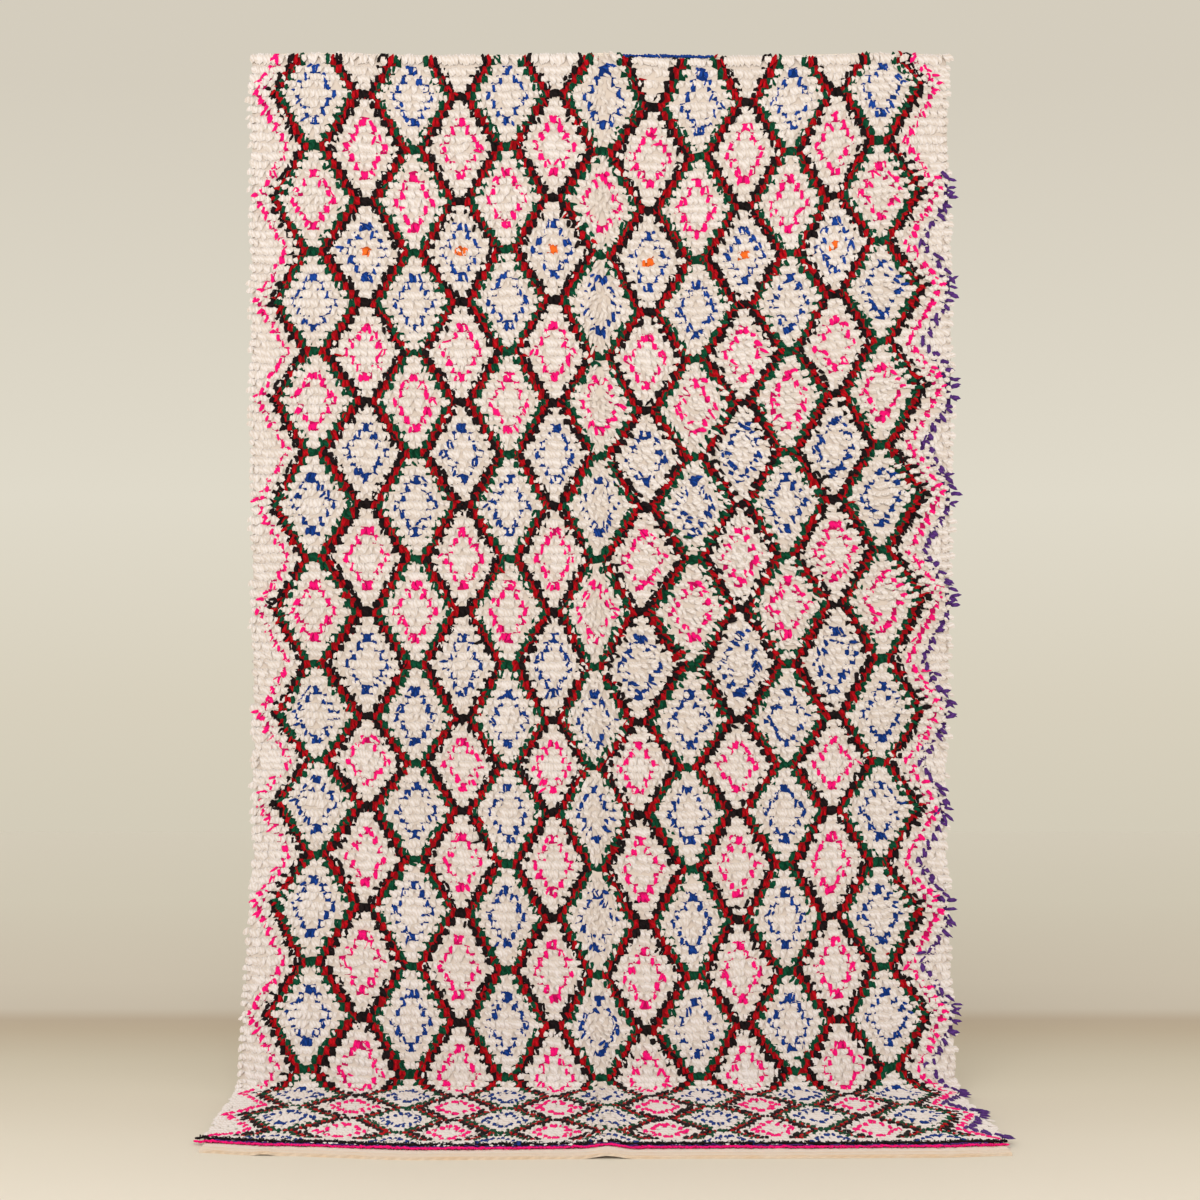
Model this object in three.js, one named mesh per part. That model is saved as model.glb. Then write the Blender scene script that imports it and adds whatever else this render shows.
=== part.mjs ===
// A hand-knotted wool pile rug. It hangs by its top edge and its lower end is laid out on the floor.
// Millimetres, +Z up. The pile faces -Y on the hanging part and up on the floor part.
// The origin is on the floor, under the middle of the rug's box.

import * as THREE from "three";

// Driving dimensions of the weave
const GROUND_WIDTH = 1480;
const HEADER_LENGTH = 8;
const PILE_ROWS = 149;
const ROW_PITCH = 18.2;
const APRON_LENGTH = 72;

// Side profile of the back: a straight drop, a long shallow sweep forwards, a tight fold, then the floor
const HANG_HEIGHT = 2194;
const SWEEP_RADIUS = 2010;
const SWEEP_ANGLE = THREE.MathUtils.degToRad(20.2);
const FOLD_RADIUS = 45;

// Thickness of the ground weave and of the pile that droops over it, row by row like shingles
const WEAVE_THICKNESS = 5;
const PILE_GROOVE = 11.5;
const PILE_CREST = 17;
const PILE_LUMP = 1.6;
const CREST_SHARE = 0.8;

// Locks at the rim: one at each end of each pile row
const LOCK_LENGTH = 13;
const LOCK_SPREAD = 11;
const LOCK_DROOP = 7;
const SIDE_TUCK = 3;

// The black and the pink twined line after the last pile row
const TWINED_LINES = 2;
const TWINED_PITCH = 8;
const TWINED_THICKNESS = 9;
const APRON_RIB_PITCH = 14;
const APRON_RIB = 1;

// A low ridge down the middle, where the rug was kept folded in half
const RIDGE_HEIGHT = 5.5;
const RIDGE_HALF_WIDTH = 48;
const RIDGE_CENTRE = 14;

// A short stretch of the floor end that doesn't lie down flat
const LIFT_HEIGHT = 3;
const LIFT_HALF_WIDTH = 26;
const LIFT_CENTRE = -612;
const LIFT_LENGTH = 60;

// Places across the weave where the front and the back have a point, as shares of the half width
const FRONT_SHARES = [-1, -0.74, -0.47, -0.22];
const BACK_SHARES = [-1];

// How far each edge lies outside the even width, at places along the length
const EDGES = [
  { along: 0, left: 1, right: -3 },
  { along: 700, left: 0, right: 7 },
  { along: 1160, left: -2, right: 4 },
  { along: 1650, left: -7, right: -7 },
  { along: 2040, left: 4, right: -3 },
  { along: 2190, left: 6, right: -3 },
  { along: 2784, left: -5, right: 11 },
];

// How far the weave falls short of its full length, at places across it
const SHORTFALLS = [
  { across: -760, floorEnd: 62, topEnd: 3 },
  { across: -600, floorEnd: 34, topEnd: 0 },
  { across: -330, floorEnd: 0, topEnd: 5 },
  { across: 0, floorEnd: 10, topEnd: 1 },
  { across: 330, floorEnd: 13, topEnd: 6 },
  { across: 600, floorEnd: 20, topEnd: 0 },
  { across: 770, floorEnd: 36, topEnd: 4 },
];
const BOW_START = 1900;
const TOP_WAVE_END = 220;

const LENGTH = HEADER_LENGTH + PILE_ROWS * ROW_PITCH + APRON_LENGTH;
const WEAVE_LOW = 0.5;

// A repeatable number from 0 to 1 for a row and a place in it
function wool(row, place) {
  const mixed = Math.sin(row * 12.9898 + place * 78.233) * 43758.5453;
  return mixed - Math.floor(mixed);
}

function eased(share) {
  const held = THREE.MathUtils.clamp(share, 0, 1);
  return held * held * (3 - 2 * held);
}

// The value of a column of a table at a place, eased between its rows
function readTable(table, placeKey, valueKey, place) {
  if (place <= table[0][placeKey]) return table[0][valueKey];
  for (let i = 1; i < table.length; i += 1) {
    const from = table[i - 1];
    const to = table[i];
    if (place <= to[placeKey]) {
      const share = (place - from[placeKey]) / (to[placeKey] - from[placeKey]);
      return THREE.MathUtils.lerp(from[valueKey], to[valueKey], eased(share));
    }
  }
  return table[table.length - 1][valueKey];
}

// The back's place and slope at a distance along the weave from its top edge
function backAt(along) {
  const foldTurn = Math.PI / 2 - SWEEP_ANGLE;
  const foldDrop = FOLD_RADIUS * (1 - Math.sin(SWEEP_ANGLE));
  const sweepDrop = SWEEP_RADIUS * Math.sin(SWEEP_ANGLE);
  const sweepStart = HANG_HEIGHT - foldDrop - sweepDrop;
  const foldStart = sweepStart + SWEEP_RADIUS * SWEEP_ANGLE;
  const floorStart = foldStart + FOLD_RADIUS * foldTurn;
  const foldY = -SWEEP_RADIUS * (1 - Math.cos(SWEEP_ANGLE));
  const floorY = foldY - FOLD_RADIUS * Math.cos(SWEEP_ANGLE);
  if (along <= sweepStart) return { y: 0, z: HANG_HEIGHT - along, turn: 0 };
  if (along <= foldStart) {
    const turn = (along - sweepStart) / SWEEP_RADIUS;
    const y = -SWEEP_RADIUS * (1 - Math.cos(turn));
    return { y, z: HANG_HEIGHT - sweepStart - SWEEP_RADIUS * Math.sin(turn), turn };
  }
  if (along <= floorStart) {
    const turn = SWEEP_ANGLE + (along - foldStart) / FOLD_RADIUS;
    const y = foldY - FOLD_RADIUS * (Math.cos(SWEEP_ANGLE) - Math.cos(turn));
    return { y, z: FOLD_RADIUS * (1 - Math.sin(turn)), turn };
  }
  return { y: floorY - (along - floorStart), z: 0, turn: Math.PI / 2 };
}

// How far the whole thickness stands off its even lie, at the middle ridge and the lifted stretch
function standOff(across, along) {
  const fromRidge = Math.abs(across - RIDGE_CENTRE) / RIDGE_HALF_WIDTH;
  const ridge = RIDGE_HEIGHT * eased(1 - fromRidge);
  const fromLift = Math.abs(across - LIFT_CENTRE) / LIFT_HALF_WIDTH;
  const nearEnd = eased((along - LENGTH + LIFT_LENGTH) / LIFT_LENGTH);
  return ridge + LIFT_HEIGHT * eased(1 - fromLift) * nearEnd;
}

// The length where a point of the weave really lies, with the uneven ends worked in
function trueAlong(across, along) {
  const atFloor = readTable(SHORTFALLS, "across", "floorEnd", across);
  const atTop = readTable(SHORTFALLS, "across", "topEnd", across);
  const floorShare = eased((along - BOW_START) / (LENGTH - BOW_START));
  const topShare = eased(1 - along / TOP_WAVE_END);
  return along - atFloor * floorShare + atTop * topShare;
}

// A point of the rug: across the weave, along it, and at a height over its back
function place(across, along, height) {
  const lie = trueAlong(across, along);
  const back = backAt(lie);
  const reach = height + standOff(across, along);
  return new THREE.Vector3(
    across,
    back.y - reach * Math.cos(back.turn),
    back.z + reach * Math.sin(back.turn),
  );
}

function edgeAt(side, along) {
  const column = side < 0 ? "left" : "right";
  return side * (GROUND_WIDTH / 2 + readTable(EDGES, "along", column, along));
}

// The stations along the weave. Each gives the height of the face there and the reach of its locks.
function makeStations() {
  const stations = [{ along: 0, height: WEAVE_THICKNESS, lump: 0, lock: 0, row: 0 }];
  stations.push({ along: HEADER_LENGTH - 1, height: WEAVE_THICKNESS, lump: 0, lock: 0, row: 0 });
  for (let row = 0; row < PILE_ROWS; row += 1) {
    const start = HEADER_LENGTH + row * ROW_PITCH;
    const crest = start + CREST_SHARE * ROW_PITCH;
    stations.push({ along: start, height: PILE_GROOVE, lump: PILE_LUMP / 2, lock: 0, row });
    stations.push({ along: crest, height: PILE_CREST, lump: PILE_LUMP, lock: 1, row });
  }
  let along = HEADER_LENGTH + PILE_ROWS * ROW_PITCH;
  stations.push({ along, height: WEAVE_THICKNESS + APRON_RIB, lump: 0, lock: 0, row: PILE_ROWS });
  for (let line = 0; line < TWINED_LINES; line += 1) {
    along += TWINED_PITCH / 2;
    stations.push({ along, height: TWINED_THICKNESS, lump: 0, lock: 0, row: PILE_ROWS });
    along += TWINED_PITCH / 2;
    stations.push({ along, height: WEAVE_THICKNESS, lump: 0, lock: 0, row: PILE_ROWS });
  }
  for (let rib = 0; along + APRON_RIB_PITCH / 2 < LENGTH; rib += 1) {
    along += APRON_RIB_PITCH / 2;
    const height = WEAVE_THICKNESS - (rib % 2) * APRON_RIB;
    stations.push({ along, height, lump: 0, lock: 0, row: PILE_ROWS });
  }
  stations.push({ along: LENGTH, height: WEAVE_THICKNESS - APRON_RIB, lump: 0, lock: 0, row: PILE_ROWS });
  return stations;
}

// Both halves' places across the weave for a face, with three points on the ridge between them
function placesAcross(shares, left, right) {
  const leftHalf = shares.map((share) => -share * left);
  const rightHalf = shares.map((share) => -share * right).reverse();
  const ridge = [RIDGE_CENTRE - RIDGE_HALF_WIDTH, RIDGE_CENTRE, RIDGE_CENTRE + RIDGE_HALF_WIDTH];
  return [...leftHalf, ...ridge, ...rightHalf];
}

// The closed section at a station, as points {across, along, height}, once round
function sectionAt(station) {
  const left = edgeAt(-1, station.along);
  const right = edgeAt(1, station.along);
  const front = placesAcross(FRONT_SHARES, left, right).map((across, i) => {
    const lump = station.lump * (2 * wool(station.row, i) - 1);
    return { across, along: station.along, height: station.height + lump };
  });
  const back = placesAcross(BACK_SHARES, left, right).reverse();
  const tip = (side, edge) => {
    const length = LOCK_LENGTH + LOCK_SPREAD * (wool(station.row, 40 + side) - 0.5);
    return {
      across: edge + side * (SIDE_TUCK + station.lock * length),
      along: station.along + station.lock * LOCK_DROOP,
      height: station.height * WEAVE_LOW,
    };
  };
  return [
    tip(-1, left),
    ...front,
    tip(1, right),
    ...back.map((across) => ({ across, along: station.along, height: 0 })),
  ];
}

// The two end caps are flat fans worked out from the section's own outline
function capFaces(section, firstIndex, facesBack) {
  const outline = section.map((point) => new THREE.Vector2(point.across, point.height));
  const faces = THREE.ShapeUtils.triangulateShape(outline, []);
  return faces.map(([a, b, c]) => {
    const turned = facesBack ? [c, b, a] : [a, b, c];
    return turned.map((corner) => corner + firstIndex);
  });
}

function makeRugGeometry() {
  const stations = makeStations();
  const sections = stations.map(sectionAt);
  const around = sections[0].length;
  const points = sections.flat().map((point) => place(point.across, point.along, point.height));
  const faces = [];
  for (let ring = 0; ring + 1 < sections.length; ring += 1) {
    for (let i = 0; i < around; i += 1) {
      const next = (i + 1) % around;
      const a = ring * around + i;
      const b = ring * around + next;
      const c = (ring + 1) * around + next;
      const d = (ring + 1) * around + i;
      faces.push([a, c, b], [a, d, c]);
    }
  }
  const last = sections.length - 1;
  faces.push(...capFaces(sections[0], 0, true));
  faces.push(...capFaces(sections[last], last * around, false));
  const geometry = new THREE.BufferGeometry().setFromPoints(points);
  geometry.setIndex(faces.flat());
  return geometry;
}

// Puts the geometry's box on the floor with its middle over the origin
function standOnOrigin(geometry) {
  geometry.computeBoundingBox();
  const box = geometry.boundingBox;
  const middle = box.getCenter(new THREE.Vector3());
  geometry.translate(-middle.x, -middle.y, -box.min.z);
  geometry.computeVertexNormals();
  return geometry;
}

const wool_ivory = new THREE.MeshStandardMaterial({ color: 0xe8dece, roughness: 0.95, metalness: 0 });

const rug = new THREE.Mesh(standOnOrigin(makeRugGeometry()), wool_ivory);
rug.name = "rug";

const model = new THREE.Group();
model.add(rug);

export default model;
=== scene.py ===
import math
from functools import partial

import bmesh
import bpy
import numpy as np
from bpy.props import FloatProperty, FloatVectorProperty, IntProperty, PointerProperty
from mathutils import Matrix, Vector


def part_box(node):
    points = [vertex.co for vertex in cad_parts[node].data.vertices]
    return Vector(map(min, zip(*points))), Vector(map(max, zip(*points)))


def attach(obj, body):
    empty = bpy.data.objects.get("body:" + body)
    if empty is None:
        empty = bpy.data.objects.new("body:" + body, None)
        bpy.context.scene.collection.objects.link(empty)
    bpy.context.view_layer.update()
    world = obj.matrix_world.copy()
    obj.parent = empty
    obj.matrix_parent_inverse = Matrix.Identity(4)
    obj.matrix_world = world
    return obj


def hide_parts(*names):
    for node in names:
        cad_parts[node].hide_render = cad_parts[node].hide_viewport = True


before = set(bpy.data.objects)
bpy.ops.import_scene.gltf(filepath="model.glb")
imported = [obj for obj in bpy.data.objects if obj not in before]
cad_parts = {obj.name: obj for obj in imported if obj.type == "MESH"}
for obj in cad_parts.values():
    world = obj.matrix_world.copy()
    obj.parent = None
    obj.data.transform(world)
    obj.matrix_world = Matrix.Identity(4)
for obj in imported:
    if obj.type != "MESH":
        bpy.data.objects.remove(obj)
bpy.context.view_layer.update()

bl_info = {
    "name": "Knotted Pile Rug",
    "version": (1, 0, 0),
    "blender": (4, 5, 0),
    "location": "3D View > Sidebar > Rug",
    "description": "A hung wool pile rug with a diamond lattice, knot by knot",
    "category": "Object",
}

# The floor's colour from the front to the back, by distance from the middle of the rug's box, with painted
# shade: a dark band behind the rug, then paler further back
FLOOR_SHADES = (
    {"at": -0.61, "colour": (0.69, 0.648, 0.568)},
    {"at": -0.20, "colour": (0.645, 0.602, 0.515)},
    {"at": 0.18, "colour": (0.575, 0.526, 0.437)},
    {"at": 0.63, "colour": (0.515, 0.466, 0.371)},
    {"at": 1.03, "colour": (0.439, 0.368, 0.271)},
    {"at": 1.17, "colour": (0.423, 0.350, 0.264)},
    {"at": 1.35, "colour": (0.525, 0.478, 0.406)},
    {"at": 1.85, "colour": (0.562, 0.519, 0.445)},
    {"at": 3.85, "colour": (0.618, 0.594, 0.517)},
    {"at": 6.95, "colour": (0.660, 0.637, 0.570)},
)

# The studio air's colour by the rise of the line of sight, from a little below level upwards, with painted
# shade: darker low down and high up than a little over level
AIR_SHADES = (
    {"at": -0.081, "colour": (0.650, 0.600, 0.482)},
    {"at": -0.021, "colour": (0.686, 0.631, 0.509)},
    {"at": 0.069, "colour": (0.745, 0.701, 0.591)},
    {"at": 0.245, "colour": (0.660, 0.610, 0.512)},
)

RUG_NODE = "rug"

# Driving sizes of the weave in metres, the same as in the solid
GROUND_WIDTH = 1.480
HEADER_LENGTH = 0.008
PILE_ROWS = 149
KNOTS_ACROSS = 135
ROW_PITCH = 0.0182
APRON_LENGTH = 0.072
WEAVE_THICKNESS = 0.005
LENGTH = HEADER_LENGTH + PILE_ROWS * ROW_PITCH + APRON_LENGTH
PILE_END = HEADER_LENGTH + PILE_ROWS * ROW_PITCH

# Side profile of the back: a straight drop, a long sweep forwards, a tight fold, then the floor
HANG_HEIGHT = 2.194
SWEEP_RADIUS = 2.010
SWEEP_ANGLE = math.radians(20.2)
FOLD_RADIUS = 0.045

# The low ridge down the middle, and the short stretch of the floor end that is lifted
RIDGE_HEIGHT = 0.0055
RIDGE_HALF_WIDTH = 0.048
RIDGE_CENTRE = 0.014
LIFT_HEIGHT = 0.003
LIFT_HALF_WIDTH = 0.026
LIFT_CENTRE = -0.612
LIFT_LENGTH = 0.060

# The weave's middle lies beside the middle of the rug's box, because the locks are uneven
MIDDLE_X = -0.0028
BACK_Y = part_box(RUG_NODE)[1].y

# How far each edge lies outside the even width, at places along the length
EDGES = {
    "along": (0.0, 0.700, 1.160, 1.650, 2.040, 2.190, 2.784),
    "left": (0.001, 0.000, -0.002, -0.007, 0.004, 0.006, -0.005),
    "right": (-0.003, 0.007, 0.004, -0.007, -0.003, -0.003, 0.011),
}

# How far the weave falls short of its full length, at places across it
SHORTFALLS = {
    "across": (-0.760, -0.600, -0.330, 0.0, 0.330, 0.600, 0.770),
    "floor_end": (0.062, 0.034, 0.0, 0.010, 0.013, 0.020, 0.036),
    "top_end": (0.003, 0.0, 0.005, 0.001, 0.006, 0.0, 0.004),
}
BOW_START = 1.900
TOP_WAVE_END = 0.220

# The lattice, counted in knots across and rows along. Its middle is between two knots.
LATTICE_MIDDLE = 67.0
HALF_REPEAT = 9
NODE_ROW = 4
ROWS_PER_REPEAT = 12
LATTICE_REACH = 63
LATTICE_END_ROW = 147
BORDER_GAP = 3
PURPLE_START_ROW = 14

# How many rows the woven rows lie too low, at places down the rug and across it
ROW_DRIFTS = {
    "row": (0, 4, 16, 28, 40, 52, 64, 76, 88, 100, 112, 124, 136, 144, 149),
    "far_left": (0.0, -0.2, 0.3, 0.3, -0.3, -0.2, 0.4, 0.6, -1.1, -1.2, -0.4, 0.4, 0.9, 1.8, 0.0),
    "mid_left": (0.0, 0.15, 0.6, 0.4, -0.1, 0.0, 0.4, 0.8, -0.4, -0.7, 0.1, 0.5, 1.2, 1.4, 0.0),
    "left": (0.0, -0.2, 0.0, -0.1, 0.0, 0.0, 0.4, 1.1, 0.0, 0.2, 0.6, 0.9, 1.5, 1.6, 0.0),
    "right": (0.0, 1.4, 1.5, 1.5, 0.9, 0.3, 0.5, 1.3, 0.2, 1.0, 1.3, 0.6, 0.8, 1.0, 0.0),
    "mid_right": (0.0, 0.5, 0.9, 0.4, -0.2, -0.2, 0.0, 1.0, -0.1, 0.3, 0.5, -0.4, -0.5, 0.3, 0.0),
    "far_right": (0.0, -1.0, -0.6, -1.2, -1.3, -0.9, -0.8, 0.4, -0.4, -0.1, -0.2, -0.5, -0.4, 1.0, 0.0),
}
ROW_DRIFT_PLACES = {
    "far_left": -50,
    "mid_left": -38,
    "left": -10,
    "right": 10,
    "mid_right": 34,
    "far_right": 52,
}

# How many knots the columns of knots lie too far right, at places down the rug and across it
KNOT_DRIFTS = {
    "row": (0, 20, 36, 52, 68, 84, 100, 112, 122, 132, 142, 149),
    "edge_left": (0.0, 0.0, 0.0, 0.0, 0.0, 0.0, 0.0, 0.0, 0.0, 0.0, 0.0, 0.0),
    "far_left": (-0.7, -1.2, -1.0, -1.4, -1.2, -0.8, -1.0, -0.9, -0.9, -0.9, -1.3, -1.5),
    "left": (-0.2, 0.3, 0.2, 0.4, 0.3, 0.2, 0.1, 0.6, 1.0, 1.3, 1.2, 1.0),
    "inner_left": (0.4, 0.4, 0.4, 0.7, 0.8, 0.6, 0.6, 1.0, 1.3, 1.6, 1.3, 0.8),
    "mid_left": (0.8, 0.2, 0.4, 0.6, 0.5, 0.5, 0.5, 1.1, 1.6, 1.9, 1.2, 0.9),
    "mid_right": (2.0, 0.8, 0.0, -0.4, -1.4, -1.1, 0.0, 0.5, 1.3, 2.1, 2.3, 2.5),
    "inner_right": (2.4, 1.1, 0.5, 0.2, 0.0, -0.3, 0.5, 1.3, 2.0, 2.7, 3.3, 3.7),
    "right": (2.3, 1.1, 0.3, -0.1, 0.3, 0.6, 0.5, 1.2, 2.0, 2.5, 2.7, 2.8),
    "far_right": (1.3, 0.4, 0.3, 0.2, 0.9, 1.2, 0.5, 1.5, 2.0, 2.2, 2.6, 3.0),
    "edge_right": (0.0, 0.0, 0.0, 0.0, 0.0, 0.0, 0.0, 0.0, 0.0, 0.0, 0.0, 0.0),
}
KNOT_DRIFT_PLACES = {
    "edge_left": -67,
    "far_left": -56,
    "left": -42,
    "inner_left": -30,
    "mid_left": -14,
    "mid_right": 8,
    "inner_right": 20,
    "right": 34,
    "far_right": 56,
    "edge_right": 68,
}

# Each wool: how full and how high its locks are, and how its deepest tint compares with its palest.
# The place in this table is the number of the wool in the chart.
WOOL_LOOKS = {
    "ivory": {"fullness": 1.00, "rise": 1.02, "depth": (0.83, 0.78, 0.71)},
    "black": {"fullness": 1.10, "rise": 1.02, "depth": 0.50},
    "red": {"fullness": 0.80, "rise": 0.90, "depth": 0.60},
    "green": {"fullness": 1.00, "rise": 0.96, "depth": 0.55},
    "pink": {"fullness": 0.98, "rise": 1.04, "depth": 0.80},
    "blue": {"fullness": 0.90, "rise": 0.98, "depth": 0.50},
    "orange": {"fullness": 1.00, "rise": 0.98, "depth": 0.80},
    "purple": {"fullness": 1.00, "rise": 1.22, "depth": 0.60},
}
WOOLS = tuple(WOOL_LOOKS)
IVORY, BLACK, RED, GREEN, PINK, BLUE, ORANGE, PURPLE = range(len(WOOLS))

# The wools' painted shade that darkens a lock towards its root, and their sheen
IVORY_ROOT_SHADE_AND_SHEEN = {"root_shade": 0.90, "sheen": 0.15}
DYED_ROOT_SHADE_AND_SHEEN = {"root_shade": 0.70, "sheen": 0.02}

# The wool of the small motif in each row of diamonds, from the top down, how many knots a motif
# reaches from its middle, and how far from the lattice's middle motifs still lie
NODE_ROW_MOTIFS = (BLUE, PINK) * 3 + (BLUE,) * 7
MID_ROW_MOTIFS = (PINK, BLUE) * 3 + (PINK,) * 7
MOTIF_REACH = 3
NODE_MOTIFS_WITHIN = 60
MID_MOTIFS_WITHIN = LATTICE_REACH - HALF_REPEAT
ORANGE_HEART_ROW = 1

# Bands of ivory rows, because a piece holds under 200,000 triangles
IVORY_BANDS = {"pile_ivory_upper": (0, 50), "pile_ivory_middle": (50, 100), "pile_ivory_lower": (100, 149)}

# The chart that the wool's colour is read from: strips side by side, one for each tint, which the
# locks fill but for a margin at the sides and the ends of each
WOOL_CHART = "OFBake"
TINTS = 64
STRIP_SIDE_MARGIN = 0.1
STRIP_END_MARGIN = 0.02

# The chart of the ground: its back on the left, its front on the right, and its rim past that
GROUND_MARGIN = 0.01
GROUND_WIDE = 0.47
GROUND_HIGH = 0.98
FRONT_PLACE = 0.5
RIM_PLACE = 0.985
RIM_WIDE = 0.01

# The two locks of a knot. "beside" and "down" are where they rise, as shares of the knot's width and
# of the row's pitch, and "strays" is how far chance moves them. "rise" is a share of the pile's rise,
# which varies by "uneven". Turns are the spread of the angles, in degrees, of a knot's locks together
# and of each by itself, and what the shagginess adds. "loose" is the share of loose locks, and
# "on_floor" is how much higher the locks stand where they are trodden.
DYED_LOCKS = {
    "beside": (0.27, 0.73),
    "down": (-0.10, -0.03),
    "rise": (0.97, 1.0),
    "wide": 0.0096,
    "long": 0.0208,
    "thick": 0.0056,
    "strays_beside": 0.136,
    "strays_down": 0.195,
    "knot_turn": 6.0,
    "knot_turn_shaggy": 8.4,
    "own_turn": 14.4,
    "own_turn_shaggy": 4.8,
    "curl": 0.0024,
    "uneven": 0.086,
    "loose": 0.11,
    "on_floor": 0.10,
}

# A single coloured knot between ivory ones is squeezed together
LONE_LOCKS = {**DYED_LOCKS, "beside": (0.3505, 0.6495), "strays_beside": 0.080}

# Neat ivory is puffy and lies in rows
NEAT_LOCKS = {
    "beside": (0.26, 0.74),
    "down": (-0.10, -0.10),
    "rise": (1.0, 1.0),
    "wide": 0.0124,
    "long": 0.0232,
    "thick": 0.0044,
    "strays_beside": 0.064,
    "strays_down": 0.0675,
    "knot_turn": 10.8,
    "knot_turn_shaggy": 0.0,
    "own_turn": 8.8,
    "own_turn_shaggy": 7.2,
    "curl": 0.00144,
    "uneven": 0.026,
    "loose": 0.03,
    "on_floor": -0.03,
}

# Shaggy ivory lies in loose locks, in which the rows are lost
SHAGGY_LOCKS = {
    **NEAT_LOCKS,
    "beside": (0.28, 0.76),
    "down": (-0.12, 0.22),
    "rise": (0.96, 1.06),
    "wide": 0.0100,
    "long": 0.0215,
    "thick": 0.0050,
    "strays_beside": 0.080,
    "strays_down": 0.150,
    "knot_turn": 6.0,
    "knot_turn_shaggy": 8.4,
    "own_turn": 14.4,
    "own_turn_shaggy": 4.8,
    "curl": 0.0024,
}
LOCK_KINDS = (DYED_LOCKS, LONE_LOCKS, NEAT_LOCKS, SHAGGY_LOCKS)
DYED, LONE, NEAT, SHAGGY = range(len(LOCK_KINDS))
LOCKS_PER_KNOT = len(NEAT_LOCKS["down"])

# An ivory knot is neat where the pile's shagginess is below this, give or take a chance of its own
NEAT_BELOW = 0.55
NEAT_CHANCE = 0.10

# How much chance varies a lock's sizes and tint, by itself and with its knot
CHANCE = {"wide": 0.14, "long": 0.08, "knot_long": 0.05, "knot_rise": 0.5, "tint": 0.12, "knot_tint": 0.07}
CURL_SHAGGY = 0.5
UNEVEN_SHAGGY = 0.05

# Loose locks: how many more there are where it is shaggy, the spread of their angles in degrees, and
# how wide, thick and long they are beside the others
LOOSE = {"if_shaggy": 0.10, "turn": 28.0, "wide": 0.78, "thick": 0.80, "long": 1.20}

# The frayed tufts of the purple border: their angles, and how much longer and slimmer they are
FRAYED = {"turn": 14.0, "longer": 0.50, "slimmer": 0.14}

# The round end of a band of ivory knots: how far it leans and shifts over the coloured knot beside
# it, how much later it starts, in rows, and how much shorter it is. It shows over the whole end
# knot, from a little before it.
END_LEAN = math.radians(15)
END_SHIFT = 0.0034
END_SHIFT_RANGE = (0.3, 1.5)
END_LATER = 0.15
END_SHORTER = 0.30
END_BEFORE = 0.3
END_REACH = 1.1

# Locks near the side edges are shorter. Those of the first row lie higher and are longer, so that
# they cover the flat edge, but for the stretch where the blue line shows.
SIDE_BAND = 0.02
SIDE_SHORTER = 0.20
COVER_HIGHER = 0.0085
COVER_LONGER = 0.0050
COVER_ABOVE = 0.1

# The part on the floor is trodden: the row where that starts and the rows over which it grows, how
# much evener the locks are, how much slimmer the dyed ones, and how much paler the ivory
FLOOR_ROW = 119
FLOOR_ROWS = 6
TRODDEN = {"evener": 0.7, "slimmer": 0.08, "paler": 0.30}

# The wool's tint changes slowly over the rug. Ivory has painted shade in the crease, and blue is dark but
# for the rows near the top.
TINT_WAVES = 0.14
CREASE_PAINTED_SHADE = 0.40
CREASE_SHADE_REACH = 0.022
BLUE_DARKER = 0.32
BLUE_BRIGHTER = 0.50
BRIGHT_BLUE_ROWS = 36
BLUE_CHANGE_ROWS = 12

# The middle crease, where the pile parts: how far to each side it does, how much, in degrees, and
# which share of that is even along the crease and which uneven
CREASE_ACROSS = 0.0
PARTING_REACH = 0.024
PARTING_LEAN = 24.0
PARTING_EVEN = 0.55
PARTING_UNEVEN = 0.75

# How shaggy the pile is, from 0 to 1: in an oval at the middle right, in patches and at the crease
SHAGGY_OVAL = {"across": 0.30, "along": 1.05, "half_width": 0.30, "half_length": 0.42}
SHAGGY_IN_OVAL = 0.44
SHAGGY_IN_PATCHES = 0.35
SHAGGY_AT_CREASE = 0.9
SHAGGY_CREASE_REACH = 0.032

# The way the pile lies, in degrees towards the right: combed in an oval, in waves, and at the edges
COMBED_OVAL = {"across": 0.32, "along": 1.00, "half_width": 0.33, "half_length": 0.48}
COMBED_LEAN = 40.0
WAVES_LEAN = 17.0
EDGE_LEAN = 12.0
EDGE_BAND = 0.012

# The pile of both borders is combed outwards, from this many knots off the lattice's middle, and
# the ivory outside the border lines less so. At its narrow rows little of the lean is left.
BORDER_LEANS = {"left": 48.0, "right": 74.0}
BORDER_START = 49
BORDER_GROWS_OVER = 9
PAST_LINE_START = 64
PAST_LINE_OVER = 3
PAST_LINE_LESS = 0.45
NARROW_ROWS_SHARE = 0.05

# Where along a lock it is fully risen, and how far its tip droops. Its root stands in the weave.
BELLY_SHARE = 0.22
TIP_DROOP = 0.24
ROOT_DEPTH_SHARE = 0.6

# How round a lock of soft wool looks in the light, across it and along it, the step by which its
# normals are found, and the least agreement with its faces at which they are used
ROUND_ACROSS = 0.75
ROUND_ALONG = 0.9
NORMAL_STEP = 0.0005
LEAST_AGREEMENT = 0.05
FACING_OUT = 0.2

# Rows of knots wander up and down by about this much
ROW_WAVE = 0.0022

# The dense lower part of the pile, between the ground weave and the locks that show: how high it is, how
# far its points are scattered, and the painted shade that makes ivory and dyed wool darker down there,
# between the locks
PILE_BED = 0.0102
BED_SCATTER = {"along": 0.00364, "across": 0.0026}
BED_PAINTED_SHADE = (0.84, 0.78, 0.70)
DYED_BED_PAINTED_SHADE = 0.50

# The flat-woven end: its lines of points, and how much of the tan edge colour each takes from the edge
# inwards, evenly and with ragged unevenness. The fifth is a tan shoot.
APRON_LINES = 12
END_TAN_SHARES = {"even": (0.20, 0.22, 0.22, 0.22, 0.15, 0.0), "ragged": (0.80, 0.0, 0.0, 0.0, 0.60, 0.0)}

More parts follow.
